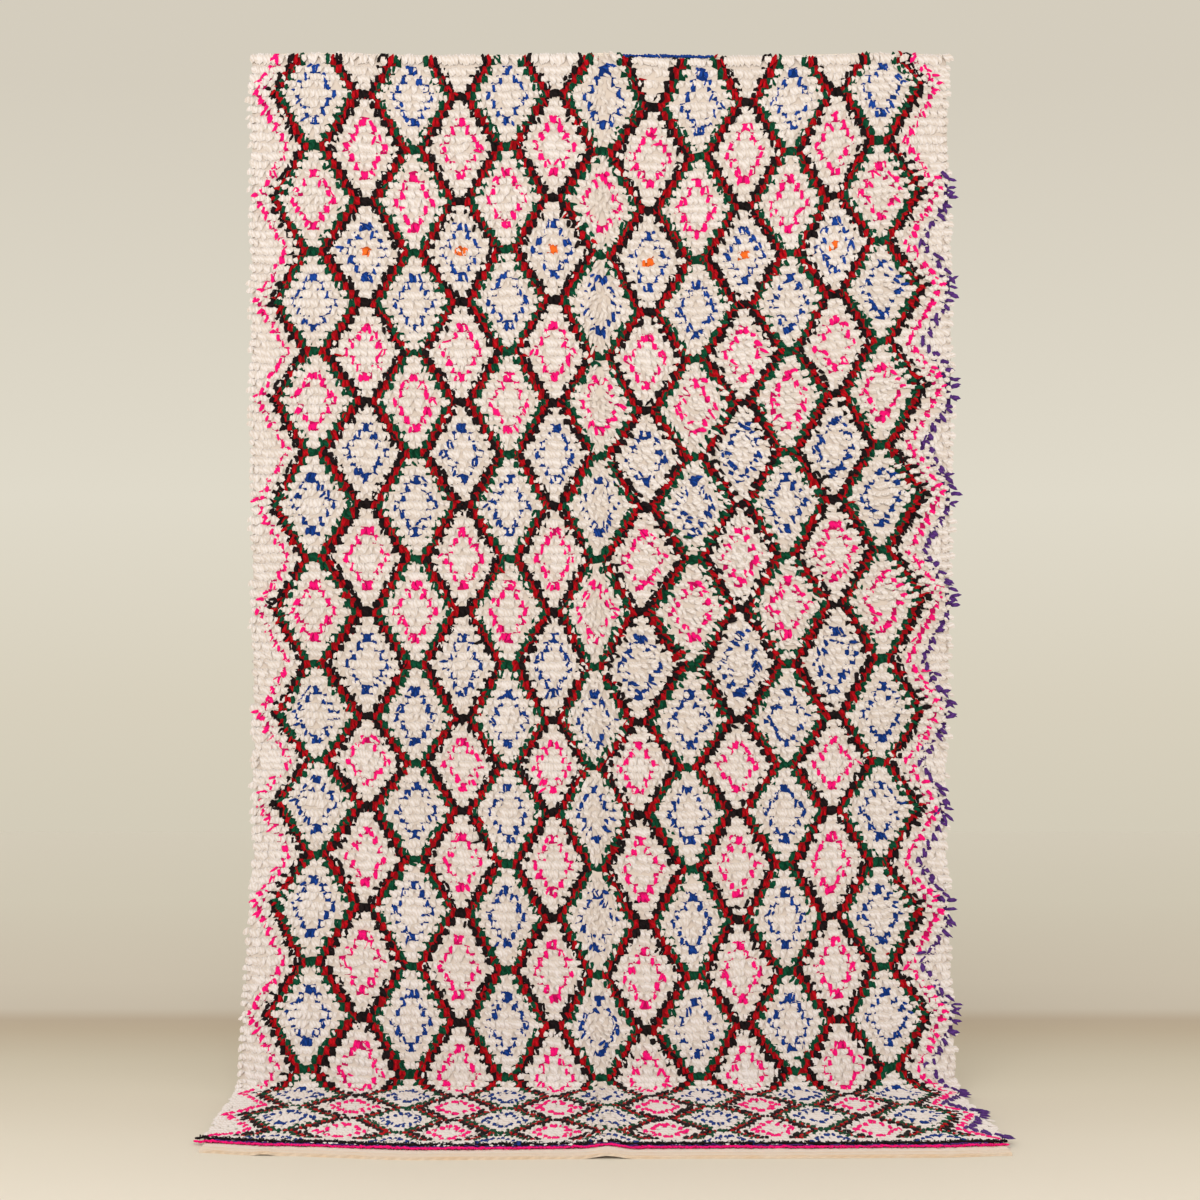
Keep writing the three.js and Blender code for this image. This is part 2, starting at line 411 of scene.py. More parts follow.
# The ground's yarns: shoots of weft in each line of the flat end, how many more in each pile row,
# warps in each knot, and the part of a row's pitch where its knots show on the back
END_SHOOTS = 2.0
MORE_PILE_SHOOTS = 3.0
WARPS_PER_KNOT = 2.0
KNOT_BAND = {"middle": 0.45, "half": 0.18}

# The ground's relief: the share of its ribs beside its warps, and the heights of the knots' loops and of
# the fuzz. Its painted shade is the least one plus its swing where it is highest, so it is darker between
# the loops and the ribs, and the weft takes its painted shadow colour, a share of its own, in the valleys.
RIB_SHARE = 0.6
LOOP_RELIEF = 1.6
FUZZ_RELIEF = 0.3
BACK_SHADE = {"least": 0.40, "swing": 0.50}
FRONT_SHADE = {"least": 0.96, "swing": 0.02}
END_SHADE = {"least": 0.82, "swing": 0.22}
WEFT_SHADOW = 0.62

# The twined lines: the pitch between them, the shares of the half width that each runs between, its
# height over the weave's back, and its thickness. The blue line shows only right of the top's middle.
TWINE_PITCH = 0.008
BLUE_START = 0.055
BLUE_END = 0.325
TWINES = {
    "line_black": {
        "wool": BLACK,
        "along": PILE_END + 0.3 * TWINE_PITCH,
        "between": (-1.0, 1.0),
        "height": 0.0120,
        "thick": 0.0062,
    },
    "line_purple": {
        "wool": PURPLE,
        "along": PILE_END + 0.8 * TWINE_PITCH,
        "between": (-0.95, 0.95),
        "height": 0.0094,
        "thick": 0.0020,
    },
    "line_pink": {
        "wool": PINK,
        "along": PILE_END + 1.4 * TWINE_PITCH,
        "between": (-1.0, 1.0),
        "height": 0.0078,
        "thick": 0.0044,
    },
    "line_blue": {
        "wool": BLUE,
        "along": 0.004,
        "between": (BLUE_START, BLUE_END),
        "height": 0.0068,
        "thick": 0.0060,
    },
}

# A stitch of twining, with its lean in degrees, and how much chance varies it: places and heights in
# metres, the lean in degrees, and sizes as shares
STITCH = {"pitch": 0.0062, "wide": 0.0062, "long": 0.0120, "lean": 60.0}
STITCH_CHANCE = {
    "across": 0.0005,
    "lean": 12.0,
    "wide": 0.10,
    "long": 0.14,
    "thick": 0.14,
    "height": 0.0007,
}
STITCH_SEED = 31

# How far the twined lines wander along the weave, in long and short waves, and up and down
LINE_WANDER = 0.0016
LINE_SHAKE = 0.0008
LINE_LIFT = 0.0010

# Loose fibres along the twined lines: which way they point, in degrees from straight down, and how
# high they stand
FUZZ = {
    "line_black_fuzz": {"wool": BLACK, "line": "line_black", "count": 620, "away": 150, "rise": 0.0125},
    "line_pink_fuzz": {"wool": PINK, "line": "line_pink", "count": 520, "away": 25, "rise": 0.0062},
}

# A loose fibre's sizes, and how much chance varies it: its place and curl in metres, its lean in
# degrees, its sizes as shares, and its tint
FIBRE = {"wide": 0.0030, "thick": 0.0015, "long": 0.0085}
FIBRE_CHANCE = {"along": 0.0012, "lean": 38.0, "curl": 0.003, "wide": 0.2, "long": 0.3, "rise": 0.12}
FIBRE_TINTS = (0.2, 0.999)
FIBRE_SEED = 53

# The repeatable unevenness of the rug: the size of the lumps of each kind, its seed, and the field
# that it covers, in metres across and along
LUMPS = {
    "shaggy_patches": {"size": 0.24, "seed": 5},
    "tint": {"size": 0.10, "seed": 11},
    "waves": {"size": 0.11, "seed": 17},
    "parting": {"size": 0.07, "seed": 23},
    "rows": {"size": 0.030, "seed": 29},
    "line_wander": {"size": 0.06, "seed": 41},
    "line_shake": {"size": 0.02, "seed": 42},
    "line_lift": {"size": 0.04, "seed": 61},
    "ragged_end": {"size": 0.03, "seed": 71},
}
LUMP_FIELD = {"left": -1.0, "right": 1.0, "top": -0.1, "bottom": 3.1}
BED_SEED = 41

# The stage: half the floor's size, the colour of the fill, and the sizes and places of the key light
FLOOR_HALF = 7.0
FILL_COLOUR = (0.745, 0.70, 0.62)
KEY_SIZE = (3.4, 2.4)
KEY_PLACE = (-0.7, -4.4, 3.0)
KEY_AIM = (0.0, 0.2, 1.0)


def eased(share):
    """Turns a share from 0 to 1 into one that starts and ends gently."""
    held = np.clip(share, 0.0, 1.0)
    return held * held * (3.0 - 2.0 * held)


def ramp(value, start, reach):
    """From 0 where a value is at the start to 1 where it is the reach past it, eased."""
    return eased((value - start) / reach)


def read_table(table, key, column, where):
    """The value of a column of a table at each place, eased between its rows."""
    places = np.asarray(table[key], float)
    values = np.asarray(table[column], float)
    held = np.clip(where, places[0], places[-1])
    step = np.clip(np.searchsorted(places, held, side="right") - 1, 0, len(places) - 2)
    share = (held - places[step]) / (places[step + 1] - places[step])
    return values[step] + (values[step + 1] - values[step]) * eased(share)


def unevenness(kind, across, along=0.0, variant=0):
    """Smooth repeatable unevenness from -1 to 1, with the lumps of its kind."""
    lump = LUMPS[kind]["size"]
    columns = int((LUMP_FIELD["right"] - LUMP_FIELD["left"]) / lump) + 4
    rows = int((LUMP_FIELD["bottom"] - LUMP_FIELD["top"]) / lump) + 4
    random = np.random.default_rng(LUMPS[kind]["seed"] + variant)
    grid = random.uniform(-1.0, 1.0, (rows, columns))
    x = np.clip((across - LUMP_FIELD["left"]) / lump, 0.0, columns - 1.001)
    y = np.clip((along - LUMP_FIELD["top"]) / lump, 0.0, rows - 1.001)
    i = y.astype(int)
    j = x.astype(int)
    down = eased(y - i)
    over = eased(x - j)
    top = grid[i, j] * (1 - over) + grid[i, j + 1] * over
    bottom = grid[i + 1, j] * (1 - over) + grid[i + 1, j + 1] * over
    return top * (1 - down) + bottom * down


def back_at(along):
    """The back's y, z and slope at distances along the weave from its top edge."""
    fold_turn = math.pi / 2 - SWEEP_ANGLE
    fold_drop = FOLD_RADIUS * (1 - math.sin(SWEEP_ANGLE))
    sweep_drop = SWEEP_RADIUS * math.sin(SWEEP_ANGLE)
    sweep_start = HANG_HEIGHT - fold_drop - sweep_drop
    fold_start = sweep_start + SWEEP_RADIUS * SWEEP_ANGLE
    floor_start = fold_start + FOLD_RADIUS * fold_turn
    fold_y = -SWEEP_RADIUS * (1 - math.cos(SWEEP_ANGLE))
    floor_y = fold_y - FOLD_RADIUS * math.cos(SWEEP_ANGLE)
    sweep = (along - sweep_start) / SWEEP_RADIUS
    fold = SWEEP_ANGLE + (along - fold_start) / FOLD_RADIUS
    parts = [along <= sweep_start, along <= fold_start, along <= floor_start]
    y = np.select(
        parts,
        [
            np.zeros_like(along),
            -SWEEP_RADIUS * (1 - np.cos(sweep)),
            fold_y - FOLD_RADIUS * (math.cos(SWEEP_ANGLE) - np.cos(fold)),
        ],
        floor_y - (along - floor_start),
    )
    z = np.select(
        parts,
        [
            HANG_HEIGHT - along,
            HANG_HEIGHT - sweep_start - SWEEP_RADIUS * np.sin(sweep),
            FOLD_RADIUS * (1 - np.sin(fold)),
        ],
        np.zeros_like(along),
    )
    turn = np.select(parts, [np.zeros_like(along), sweep, fold], np.full_like(along, math.pi / 2))
    return y, z, turn


def stand_off(across, along):
    """How far the whole thickness stands off its even lie, at the ridge and the lifted stretch."""
    ridge = RIDGE_HEIGHT * eased(1 - np.abs(across - RIDGE_CENTRE) / RIDGE_HALF_WIDTH)
    near_end = eased((along - LENGTH + LIFT_LENGTH) / LIFT_LENGTH)
    return ridge + LIFT_HEIGHT * eased(1 - np.abs(across - LIFT_CENTRE) / LIFT_HALF_WIDTH) * near_end


def true_along(across, along):
    """The length where points of the weave really lie, with the uneven ends worked in."""
    floor_end = read_table(SHORTFALLS, "across", "floor_end", across)
    top_end = read_table(SHORTFALLS, "across", "top_end", across)
    floor_share = eased((along - BOW_START) / (LENGTH - BOW_START))
    return along - floor_end * floor_share + top_end * eased(1 - along / TOP_WAVE_END)


def lay(across, along, height):
    """Places of the hung rug for points across the weave, along it, and over its back."""
    y, z, turn = back_at(true_along(across, along))
    reach = height + stand_off(across, along)
    return np.stack(
        [MIDDLE_X + across, BACK_Y + y - reach * np.cos(turn), z + reach * np.sin(turn)], axis=-1
    )


def edge_at(side, along):
    """The place across the weave of its left or right edge, for a side of -1 or 1."""
    column = "left" if side < 0 else "right"
    return side * (GROUND_WIDTH / 2 + read_table(EDGES, "along", column, along))


def drift_at(table, places, knot, row):
    """The value of a table of drifts at a row and a place across, eased between its columns."""
    names = list(places)
    from_middle = knot - LATTICE_MIDDLE
    drift = read_table(table, "row", names[0], row)
    for before, name in zip(names, names[1:]):
        share = ramp(from_middle, places[before], places[name] - places[before])
        step = read_table(table, "row", name, row) - read_table(table, "row", before, row)
        drift = drift + step * share
    return drift


def across_at(knot, row, along):
    """The place across the weave of a place counted in knots from the left edge."""
    left = edge_at(-1, along)
    right = edge_at(1, along)
    drifted = knot + drift_at(KNOT_DRIFTS, KNOT_DRIFT_PLACES, knot, row)
    return left + (right - left) * drifted / KNOTS_ACROSS


def along_at(knot, row):
    """The length from the top edge of a place counted in rows, with the drift of the rows."""
    return HEADER_LENGTH + ROW_PITCH * (row + drift_at(ROW_DRIFTS, ROW_DRIFT_PLACES, knot, row))


def lattice_wool(from_node, beside):
    """The wool of the lattice lines: black on the side of the nodes' column, then red, then green."""
    step = beside - from_node
    wool = np.full(step.shape, -1)
    wool[(step >= 0) & (step < 1)] = BLACK
    wool[(step >= 1) & (step < 2)] = RED
    wool[(step >= 2) & (step < 3) & (beside < HALF_REPEAT)] = GREEN
    return wool


def motif_mask(from_centre, beside):
    """The small diamond of knots inside each diamond of the lattice."""
    return (from_centre <= MOTIF_REACH) & (np.floor(beside) == MOTIF_REACH - from_centre)


def draw_motifs(chart, mask, wools, repeat):
    """Gives the knots of a mask the wool of their row of diamonds."""
    wool = np.array(wools)[np.clip(repeat, 0, len(wools) - 1)]
    chart[mask] = wool[mask]


def chart_knots():
    """The wool number of each knot, by row and by knot across."""
    row, knot = np.mgrid[0:PILE_ROWS, 0:KNOTS_ACROSS]
    chart = np.full(row.shape, IVORY)
    from_middle = knot + 0.5 - LATTICE_MIDDLE
    off_middle = np.abs(from_middle)
    half_rows = ROWS_PER_REPEAT // 2
    repeat = np.floor_divide(row - NODE_ROW + half_rows, ROWS_PER_REPEAT)
    mid_repeat = np.floor_divide(row - NODE_ROW, ROWS_PER_REPEAT)
    from_node = np.abs(row - NODE_ROW - repeat * ROWS_PER_REPEAT)
    from_mid_row = half_rows - from_node
    column = np.floor_divide(from_middle, 2 * HALF_REPEAT)
    beside_node = np.abs(from_middle - (2 * column + 1) * HALF_REPEAT)

    node_motif = motif_mask(from_node, HALF_REPEAT - beside_node)
    draw_motifs(chart, node_motif & (off_middle < NODE_MOTIFS_WITHIN), NODE_ROW_MOTIFS, repeat)
    mid_motif = motif_mask(from_mid_row, beside_node) & (mid_repeat >= 0)
    draw_motifs(chart, mid_motif & (off_middle < MID_MOTIFS_WITHIN), MID_ROW_MOTIFS, mid_repeat)
    heart = (from_mid_row == 0) & (beside_node < 1) & (mid_repeat == ORANGE_HEART_ROW)
    chart[heart & (off_middle < MID_MOTIFS_WITHIN)] = ORANGE

    line = lattice_wool(from_node, beside_node)
    drawn = (line >= 0) & (off_middle < LATTICE_REACH) & (row < LATTICE_END_ROW)
    chart[drawn] = line[drawn]

    border = LATTICE_REACH - 0.5 - from_node + BORDER_GAP
    chart[off_middle == border] = PINK
    outer = np.minimum(border + BORDER_GAP, KNOTS_ACROSS - LATTICE_MIDDLE - 0.5)
    chart[(from_middle == outer) & (row >= PURPLE_START_ROW)] = PURPLE
    return chart


def lock_template():
    """A lock of wool: an oval of twenty faces along +Z, from its root at 0 to its tip at 1."""
    shape = bmesh.new()
    bmesh.ops.create_icosphere(shape, subdivisions=1, radius=0.5)
    return template_arrays(shape)


def stitch_template():
    """A low oval stitch of twining, along +Z from 0 to 1."""
    shape = bmesh.new()
    bmesh.ops.create_uvsphere(shape, u_segments=6, v_segments=4, radius=0.5)
    return template_arrays(shape)


def template_arrays(shape):
    """The points, faces and chart places of a small round shape, once it stands on 0 along +Z."""
    bmesh.ops.translate(shape, verts=shape.verts[:], vec=(0, 0, 0.5))
    shape.verts.ensure_lookup_table()
    points = np.array([vert.co[:] for vert in shape.verts])
    faces = [[loop.vert.index for loop in face.loops] for face in shape.faces]
    chart = []
    facing = []
    for face in shape.faces:
        middle = face.calc_center_median()
        middle_turn = math.atan2(middle.y, middle.x)
        for loop in face.loops:
            x, y, z = loop.vert.co
            turn = middle_turn
            off_axis = math.hypot(x, y) > 1e-4
            if off_axis:
                turn += math.remainder(math.atan2(y, x) - middle_turn, 2 * math.pi)
            chart.append((turn / (2 * math.pi) + 0.5, z))
            facing.append(face.normal.y > FACING_OUT)
    shape.free()
    return {"points": points, "faces": faces, "chart": np.array(chart), "facing": np.array(facing)}


def joined_mesh(name, template, points, tint):
    """One mesh of many copies of a template. Points are given for each copy, tints from 0 to 1."""
    copies = len(points)
    per_copy = len(template["points"])
    sizes = np.array([len(face) for face in template["faces"]])
    corners = np.concatenate(template["faces"])
    loops = (corners[None, :] + per_copy * np.arange(copies)[:, None]).ravel()
    totals = np.tile(sizes, copies)
    starts = np.concatenate([[0], np.cumsum(totals)[:-1]])
    mesh = bpy.data.meshes.new(name)
    mesh.vertices.add(copies * per_copy)
    mesh.vertices.foreach_set("co", points.reshape(-1).astype(np.float32))
    mesh.loops.add(len(loops))
    mesh.loops.foreach_set("vertex_index", loops.astype(np.int32))
    mesh.polygons.add(len(totals))
    mesh.polygons.foreach_set("loop_start", starts.astype(np.int32))
    mesh.polygons.foreach_set("use_smooth", np.ones(len(totals), bool))
    strip = np.minimum((tint * TINTS).astype(int), TINTS - 1)
    around = np.clip(template["chart"][:, 0], 0.0, 1.0)
    inside = STRIP_SIDE_MARGIN + (1 - 2 * STRIP_SIDE_MARGIN) * around
    across = (strip[:, None] + inside[None, :]) / TINTS
    along = STRIP_END_MARGIN + (1 - 2 * STRIP_END_MARGIN) * template["chart"][:, 1]
    places = np.stack([across, np.broadcast_to(along, across.shape)], -1)
    chart = mesh.uv_layers.new(name=WOOL_CHART)
    chart.uv.foreach_set("vector", places.reshape(-1).astype(np.float32))
    mesh.update(calc_edges=True)
    mesh.validate()
    return mesh


def soften(mesh, template, points, raised):
    """Gives the outward faces of locks the normals that run from their points to the raised points."""
    loops = len(mesh.loops)
    facing = np.tile(template["facing"], len(points))
    if len(facing) != loops:
        raise ValueError(f"{mesh.name} has lost some of its corners")
    vertex = np.empty(loops, int)
    mesh.loops.foreach_get("vertex_index", vertex)
    totals = np.empty(len(mesh.polygons), int)
    mesh.polygons.foreach_get("loop_total", totals)
    flat = np.empty(len(mesh.polygons) * 3)
    mesh.polygons.foreach_get("normal", flat)
    own = np.repeat(flat.reshape(-1, 3), totals, axis=0)
    soft = (raised - points).reshape(-1, 3)
    soft /= np.linalg.norm(soft, axis=1, keepdims=True)
    soft = soft[vertex]
    used = facing & ((soft * own).sum(axis=1) > LEAST_AGREEMENT)
    normals = np.where(used[:, None], soft, own)
    layer = mesh.attributes.new("custom_normal", "FLOAT_VECTOR", "CORNER")
    layer.data.foreach_set("vector", normals.reshape(-1).astype(np.float32))
    mesh.update()


def put_in_scene(name, data):
    """A new object in the scene that shows a mesh, a light or a camera."""
    item = bpy.data.objects.new(name, data)
    bpy.context.scene.collection.objects.link(item)
    return item


def mesh_of(name, shape):
    """A mesh with the faces of a bmesh, which is freed."""
    mesh = bpy.data.meshes.new(name)
    shape.to_mesh(mesh)
    shape.free()
    return mesh


def add_piece(name, mesh, material):
    """Puts a mesh in the scene as a piece that rides with the rug's body."""
    piece = put_in_scene(name, mesh)
    piece.data.materials.append(material)
    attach(piece, "root")
    return piece


def add_wool_piece(context, name, mesh, number):
    """Puts a mesh in the scene as a piece of the wool with this number."""
    wool = WOOLS[number]
    return add_piece(name, mesh, wool_material(context, wool))


def between_ivory(chart):
    """Which coloured knots have ivory on both sides."""
    ivory = chart == IVORY
    alone = np.zeros(chart.shape, bool)
    alone[:, 1:-1] = ~ivory[:, 1:-1] & ivory[:, 2:] & ivory[:, :-2]
    return alone


def band_ends(chart):
    """Which ivory knots have a coloured knot on their right, and which on their left."""
    dyed = chart != IVORY
    right = np.zeros(chart.shape, bool)
    left = np.zeros(chart.shape, bool)
    right[:, :-1] = dyed[:, 1:] & ~dyed[:, :-1]
    left[:, 1:] = dyed[:, :-1] & ~dyed[:, 1:]
    return right, left


def in_oval(oval, across, along):
    """From 1 in the inner half of an oval on the rug to 0 well outside it."""
    beside = (across - oval["across"]) / oval["half_width"]
    down = (along - oval["along"]) / oval["half_length"]
    return eased(1.5 - np.hypot(beside, down))


def at_crease(across, reach):
    """From 1 at the middle crease to 0 on both sides of it."""
    return np.exp(-(((across - CREASE_ACROSS) / reach) ** 2))


def shagginess(across, along):
    """From 0, rows of neat tufts, to 1, shaggy pile in which the rows can't be seen."""
    in_patches = np.clip(unevenness("shaggy_patches", across, along), 0, 1)
    shaggy = SHAGGY_IN_OVAL * in_oval(SHAGGY_OVAL, across, along) + SHAGGY_IN_PATCHES * in_patches
    return np.clip(shaggy + SHAGGY_AT_CREASE * at_crease(across, SHAGGY_CREASE_REACH), 0, 1)


def pile_lean(across, along):
    """The way the pile lies, as an angle from straight down towards the right edge."""
    from_crease = across - CREASE_ACROSS
    parted = np.sign(from_crease) * np.exp(-np.abs(from_crease) / PARTING_REACH) * PARTING_LEAN
    parted *= PARTING_EVEN + PARTING_UNEVEN * unevenness("parting", 0.0, along)
    combed = COMBED_LEAN * in_oval(COMBED_OVAL, across, along)
    waves = WAVES_LEAN * unevenness("waves", across, along)
    at_edge = ramp(np.abs(across), GROUND_WIDTH / 2 - EDGE_BAND, EDGE_BAND)
    return np.radians(parted + combed + waves + EDGE_LEAN * np.sign(across) * at_edge)


def widest_share(row):
    """From 0 at the narrow rows of the lattice's border to 1 at its widest rows."""
    return 0.5 + 0.5 * np.cos(2 * math.pi * (row - NODE_ROW) / ROWS_PER_REPEAT)


def border_lean(knot, row, wool):
    """The pile of both borders is combed outwards, most at the widest rows of the lattice."""
    from_middle = knot - LATTICE_MIDDLE
    near_edge = ramp(np.abs(from_middle), BORDER_START, BORDER_GROWS_OVER)
    past_line = ramp(np.abs(from_middle), PAST_LINE_START, PAST_LINE_OVER) * (wool == IVORY)
    most = np.where(from_middle < 0, -BORDER_LEANS["left"], BORDER_LEANS["right"])
    share = NARROW_ROWS_SHARE + (1 - NARROW_ROWS_SHARE) * widest_share(row)
    return np.radians(most * near_edge * share * (1 - PAST_LINE_LESS * past_line))


def knotted_locks(random):
    """The locks of all knots: the row, knot and wool of each, its kind, and what its knot does."""
    chart = chart_knots()
    row, knot = np.mgrid[0:PILE_ROWS, 0:KNOTS_ACROSS]
    right_end, left_end = band_ends(chart)
    knots = {
        "row": row,
        "knot": knot,
        "wool": chart,
        "lone": between_ivory(chart),
        "right_end": right_end,
        "left_end": left_end,
        "knot_turns": random.normal(0.0, 1.0, chart.size),
        "knot_size": random.normal(0.0, 1.0, chart.size),
        "knot_tint": random.normal(0.0, 1.0, chart.size),
        "mirrored": random.uniform(0.0, 1.0, chart.size) < 0.5,
    }
    locks = {name: np.repeat(values.ravel(), LOCKS_PER_KNOT) for name, values in knots.items()}
    middle = locks["knot"] + 0.5, locks["row"] + 0.5
    locks["middle_along"] = along_at(*middle)
    locks["middle_across"] = across_at(*middle, locks["middle_along"])
    shaggy = shagginess(locks["middle_across"], locks["middle_along"])
    neat = shaggy + NEAT_CHANCE * locks["knot_size"] < NEAT_BELOW
    kinds = [locks["lone"], locks["wool"] != IVORY, neat]
    locks["kind"] = np.select(kinds, [LONE, DYED, NEAT], SHAGGY)
    part = np.tile(np.arange(LOCKS_PER_KNOT), chart.size)
    for column in NEAT_LOCKS:
        values = np.array([np.broadcast_to(kind[column], LOCKS_PER_KNOT) for kind in LOCK_KINDS])
        locks[column] = values[locks["kind"], part]
    return locks


def place_locks(random, locks):
    """Where each lock rises, across the weave and along it, and how far the end of a band shapes it."""
    count = len(locks["row"])
    beside = np.where(locks["mirrored"], 1 - locks["beside"], locks["beside"])
    beside += random.uniform(-1.0, 1.0, count) * locks["strays_beside"]
    at_right = locks["right_end"] * ramp(beside, -END_BEFORE, END_REACH)
    at_left = locks["left_end"] * ramp(1 - beside, -END_BEFORE, END_REACH)
    locks["end"] = at_right - at_left
    locks["neat_end"] = np.abs(locks["end"]) * (locks["kind"] == NEAT)
    down = locks["down"] + random.uniform(-1.0, 1.0, count) * locks["strays_down"]
    down += END_LATER * locks["neat_end"]
    knot = locks["knot"] + beside
    row = locks["row"] + down
    along = along_at(knot, row)
    along += ROW_WAVE * unevenness("rows", locks["middle_across"], locks["middle_along"])
    shift = END_SHIFT * random.uniform(*END_SHIFT_RANGE, count)
    across = across_at(knot, row, along) + shift * locks["end"]
    half = GROUND_WIDTH / 2
    blue_shows = (across > BLUE_START * half) & (across < BLUE_END * half)
    locks["covers_edge"] = (locks["row"] == 0) & (locks["down"] < COVER_ABOVE) & ~blue_shows
    locks["place"] = knot
    locks["across"] = across
    locks["along"] = along - COVER_HIGHER * locks["covers_edge"]


def comb_locks(random, locks):
    """Which way each lock lies, how its tip curls, and whether it is loose or frayed."""
    count = len(locks["row"])
    shaggy = shagginess(locks["across"], locks["along"])
    loose = random.uniform(0.0, 1.0, count) < locks["loose"] + LOOSE["if_shaggy"] * shaggy
    frayed = (locks["wool"] == PURPLE) * widest_share(locks["row"]) ** 2
    lean = pile_lean(locks["across"], locks["along"])
    lean += border_lean(locks["place"], locks["row"], locks["wool"]) + END_LEAN * locks["end"]
    knot_turn = locks["knot_turn"] + locks["knot_turn_shaggy"] * shaggy
    own_turn = locks["own_turn"] + locks["own_turn_shaggy"] * shaggy
    loose_turn = LOOSE["turn"] * loose + FRAYED["turn"] * frayed
    lean += np.radians(knot_turn) * locks["knot_turns"]
    lean += np.radians(own_turn) * random.normal(0.0, 1.0, count)
    lean += np.radians(loose_turn) * random.normal(0.0, 1.0, count)
    locks["curl"] = locks["curl"] * (1 + CURL_SHAGGY * shaggy) * random.normal(0.0, 1.0, count)
    locks.update({"lean": lean, "shaggy": shaggy, "is_loose": loose, "frayed": frayed})


def size_locks(random, locks, settings):
    """How wide, thick and long each lock is and how high it rises, and how trodden it is."""
    count = len(locks["row"])
    knot_size = locks["knot_size"]
    loose = locks["is_loose"]
    frayed = locks["frayed"]
    dyed = locks["wool"] != IVORY
    trodden = ramp(locks["row"], FLOOR_ROW, FLOOR_ROWS)
    looks = [WOOL_LOOKS[wool] for wool in WOOLS]
    fullness = np.array([look["fullness"] for look in looks])[locks["wool"]]
    wool_rise = np.array([look["rise"] for look in looks])[locks["wool"]]

    wide = settings.fullness * fullness * (1 + CHANCE["wide"] * random.normal(0.0, 1.0, count))
    wide *= 1 - FRAYED["slimmer"] * frayed - TRODDEN["slimmer"] * trodden * dyed
    locks["wide"] = wide * locks["wide"] * np.where(loose, LOOSE["wide"], 1.0)
    locks["thick"] = settings.fullness * locks["thick"] * np.where(loose, LOOSE["thick"], 1.0)

    long = 1 + CHANCE["long"] * random.normal(0.0, 1.0, count) + CHANCE["knot_long"] * knot_size
    long *= np.where(loose, LOOSE["long"], 1.0) * (1 + FRAYED["longer"] * frayed)
    long *= 1 - END_SHORTER * locks["neat_end"]
    long *= 1 - SIDE_SHORTER * ramp(np.abs(locks["across"]), GROUND_WIDTH / 2 - SIDE_BAND, SIDE_BAND)
    locks["long"] = long * locks["long"] + COVER_LONGER * locks["covers_edge"]

    uneven = (locks["uneven"] + UNEVEN_SHAGGY * locks["shaggy"]) * (1 - TRODDEN["evener"] * trodden)
    rise = 1 + uneven * (random.normal(0.0, 1.0, count) + CHANCE["knot_rise"] * knot_size)
    rise *= settings.pile_rise * (wool_rise + locks["on_floor"] * trodden)
    locks["rise"] = rise * locks["rise"]
    locks["trodden"] = trodden


def tint_locks(random, locks):
    """The tint of each lock, from 0, its wool's deepest, to 1, its palest."""
    across = locks["across"]
    ivory = locks["wool"] == IVORY
    blue = locks["wool"] == BLUE
    tint = 0.5 + CHANCE["tint"] * random.normal(0.0, 1.0, len(ivory))
    tint += CHANCE["knot_tint"] * locks["knot_tint"]
    tint += TRODDEN["paler"] * locks["trodden"] * ivory
    tint += TINT_WAVES * unevenness("tint", across, locks["along"])
    # Painted shade: ivory is darker along the middle crease
    tint -= CREASE_PAINTED_SHADE * at_crease(across, CREASE_SHADE_REACH) * ivory
    bright = eased((BRIGHT_BLUE_ROWS - locks["row"]) / BLUE_CHANGE_ROWS)
    tint += blue * (BLUE_BRIGHTER * bright - BLUE_DARKER)
    locks["tint"] = np.clip(tint, 0.0, 0.999)


def pile_locks(settings):
    """The places and sizes of all locks of the pile, as arrays with one value for each lock."""
    random = np.random.default_rng(settings.seed)
    locks = knotted_locks(random)
    place_locks(random, locks)
    comb_locks(random, locks)
    size_locks(random, locks, settings)
    tint_locks(random, locks)
    return locks


def lay_leaning(small, beside, forward, height):
    """Places on the hung rug for points of small things, counted beside and along each as it leans."""
    cos = np.cos(small["lean"])[:, None]
    sin = np.sin(small["lean"])[:, None]
    across = small["across"][:, None] + forward * sin + beside * cos
    along = small["along"][:, None] + forward * cos - beside * sin
    return lay(across, along, height)


def lock_points(template, locks, step=0.0):
    """The points of a template copied to each lock, leaned, risen and laid on the hung rug.

    A step above 0 moves each point that far the way in which the lock's soft surface faces.
    """
    x, y, share = (column[None, :] for column in template["points"].T)
    rising = np.sin(np.clip(share / BELLY_SHARE, 0, 1) * math.pi / 2)
    arch = rising * (1 - TIP_DROOP * np.clip((share - BELLY_SHARE) / (1 - BELLY_SHARE), 0, 1))
    beside = x * locks["wide"][:, None] + locks["curl"][:, None] * share**3
    forward = share * locks["long"][:, None]
    root = WEAVE_THICKNESS * ROOT_DEPTH_SHARE
    height = root + locks["rise"][:, None] * arch + y * locks["thick"][:, None]
    return lay_leaning(
        locks,
        beside + step * ROUND_ACROSS * x,
        forward + step * ROUND_ALONG * (share - 0.5),
        height + step,
    )


def lock_mesh(name, template, locks, tint):
    """One mesh of locks, with the soft normals of wool."""
    points = lock_points(template, locks)
    mesh = joined_mesh(name, template, points, tint)
    soften(mesh, template, points, lock_points(template, locks, NORMAL_STEP))
    return mesh


def add_node(tree, kind, inputs=(), **settings):
    """A new shader node with its settings. Each input is fed by a socket or holds a value."""
    node = tree.nodes.new("ShaderNode" + kind)
    for name, value in settings.items():
        setattr(node, name, value)
    fill_inputs(tree, node, inputs)
    return node


def fill_inputs(tree, node, inputs):
    """Feeds inputs of a node, by name or number, from sockets, or sets their values."""
    for place, value in dict(inputs).items():
        if isinstance(value, bpy.types.NodeSocket):
            tree.links.new(value, node.inputs[place])
        else:
            node.inputs[place].default_value = value


def add_math(tree, operation, *values):
    """A Math node whose inputs are sockets or numbers. Returns its output."""
    return add_node(tree, "Math", enumerate(values), operation=operation).outputs[0]


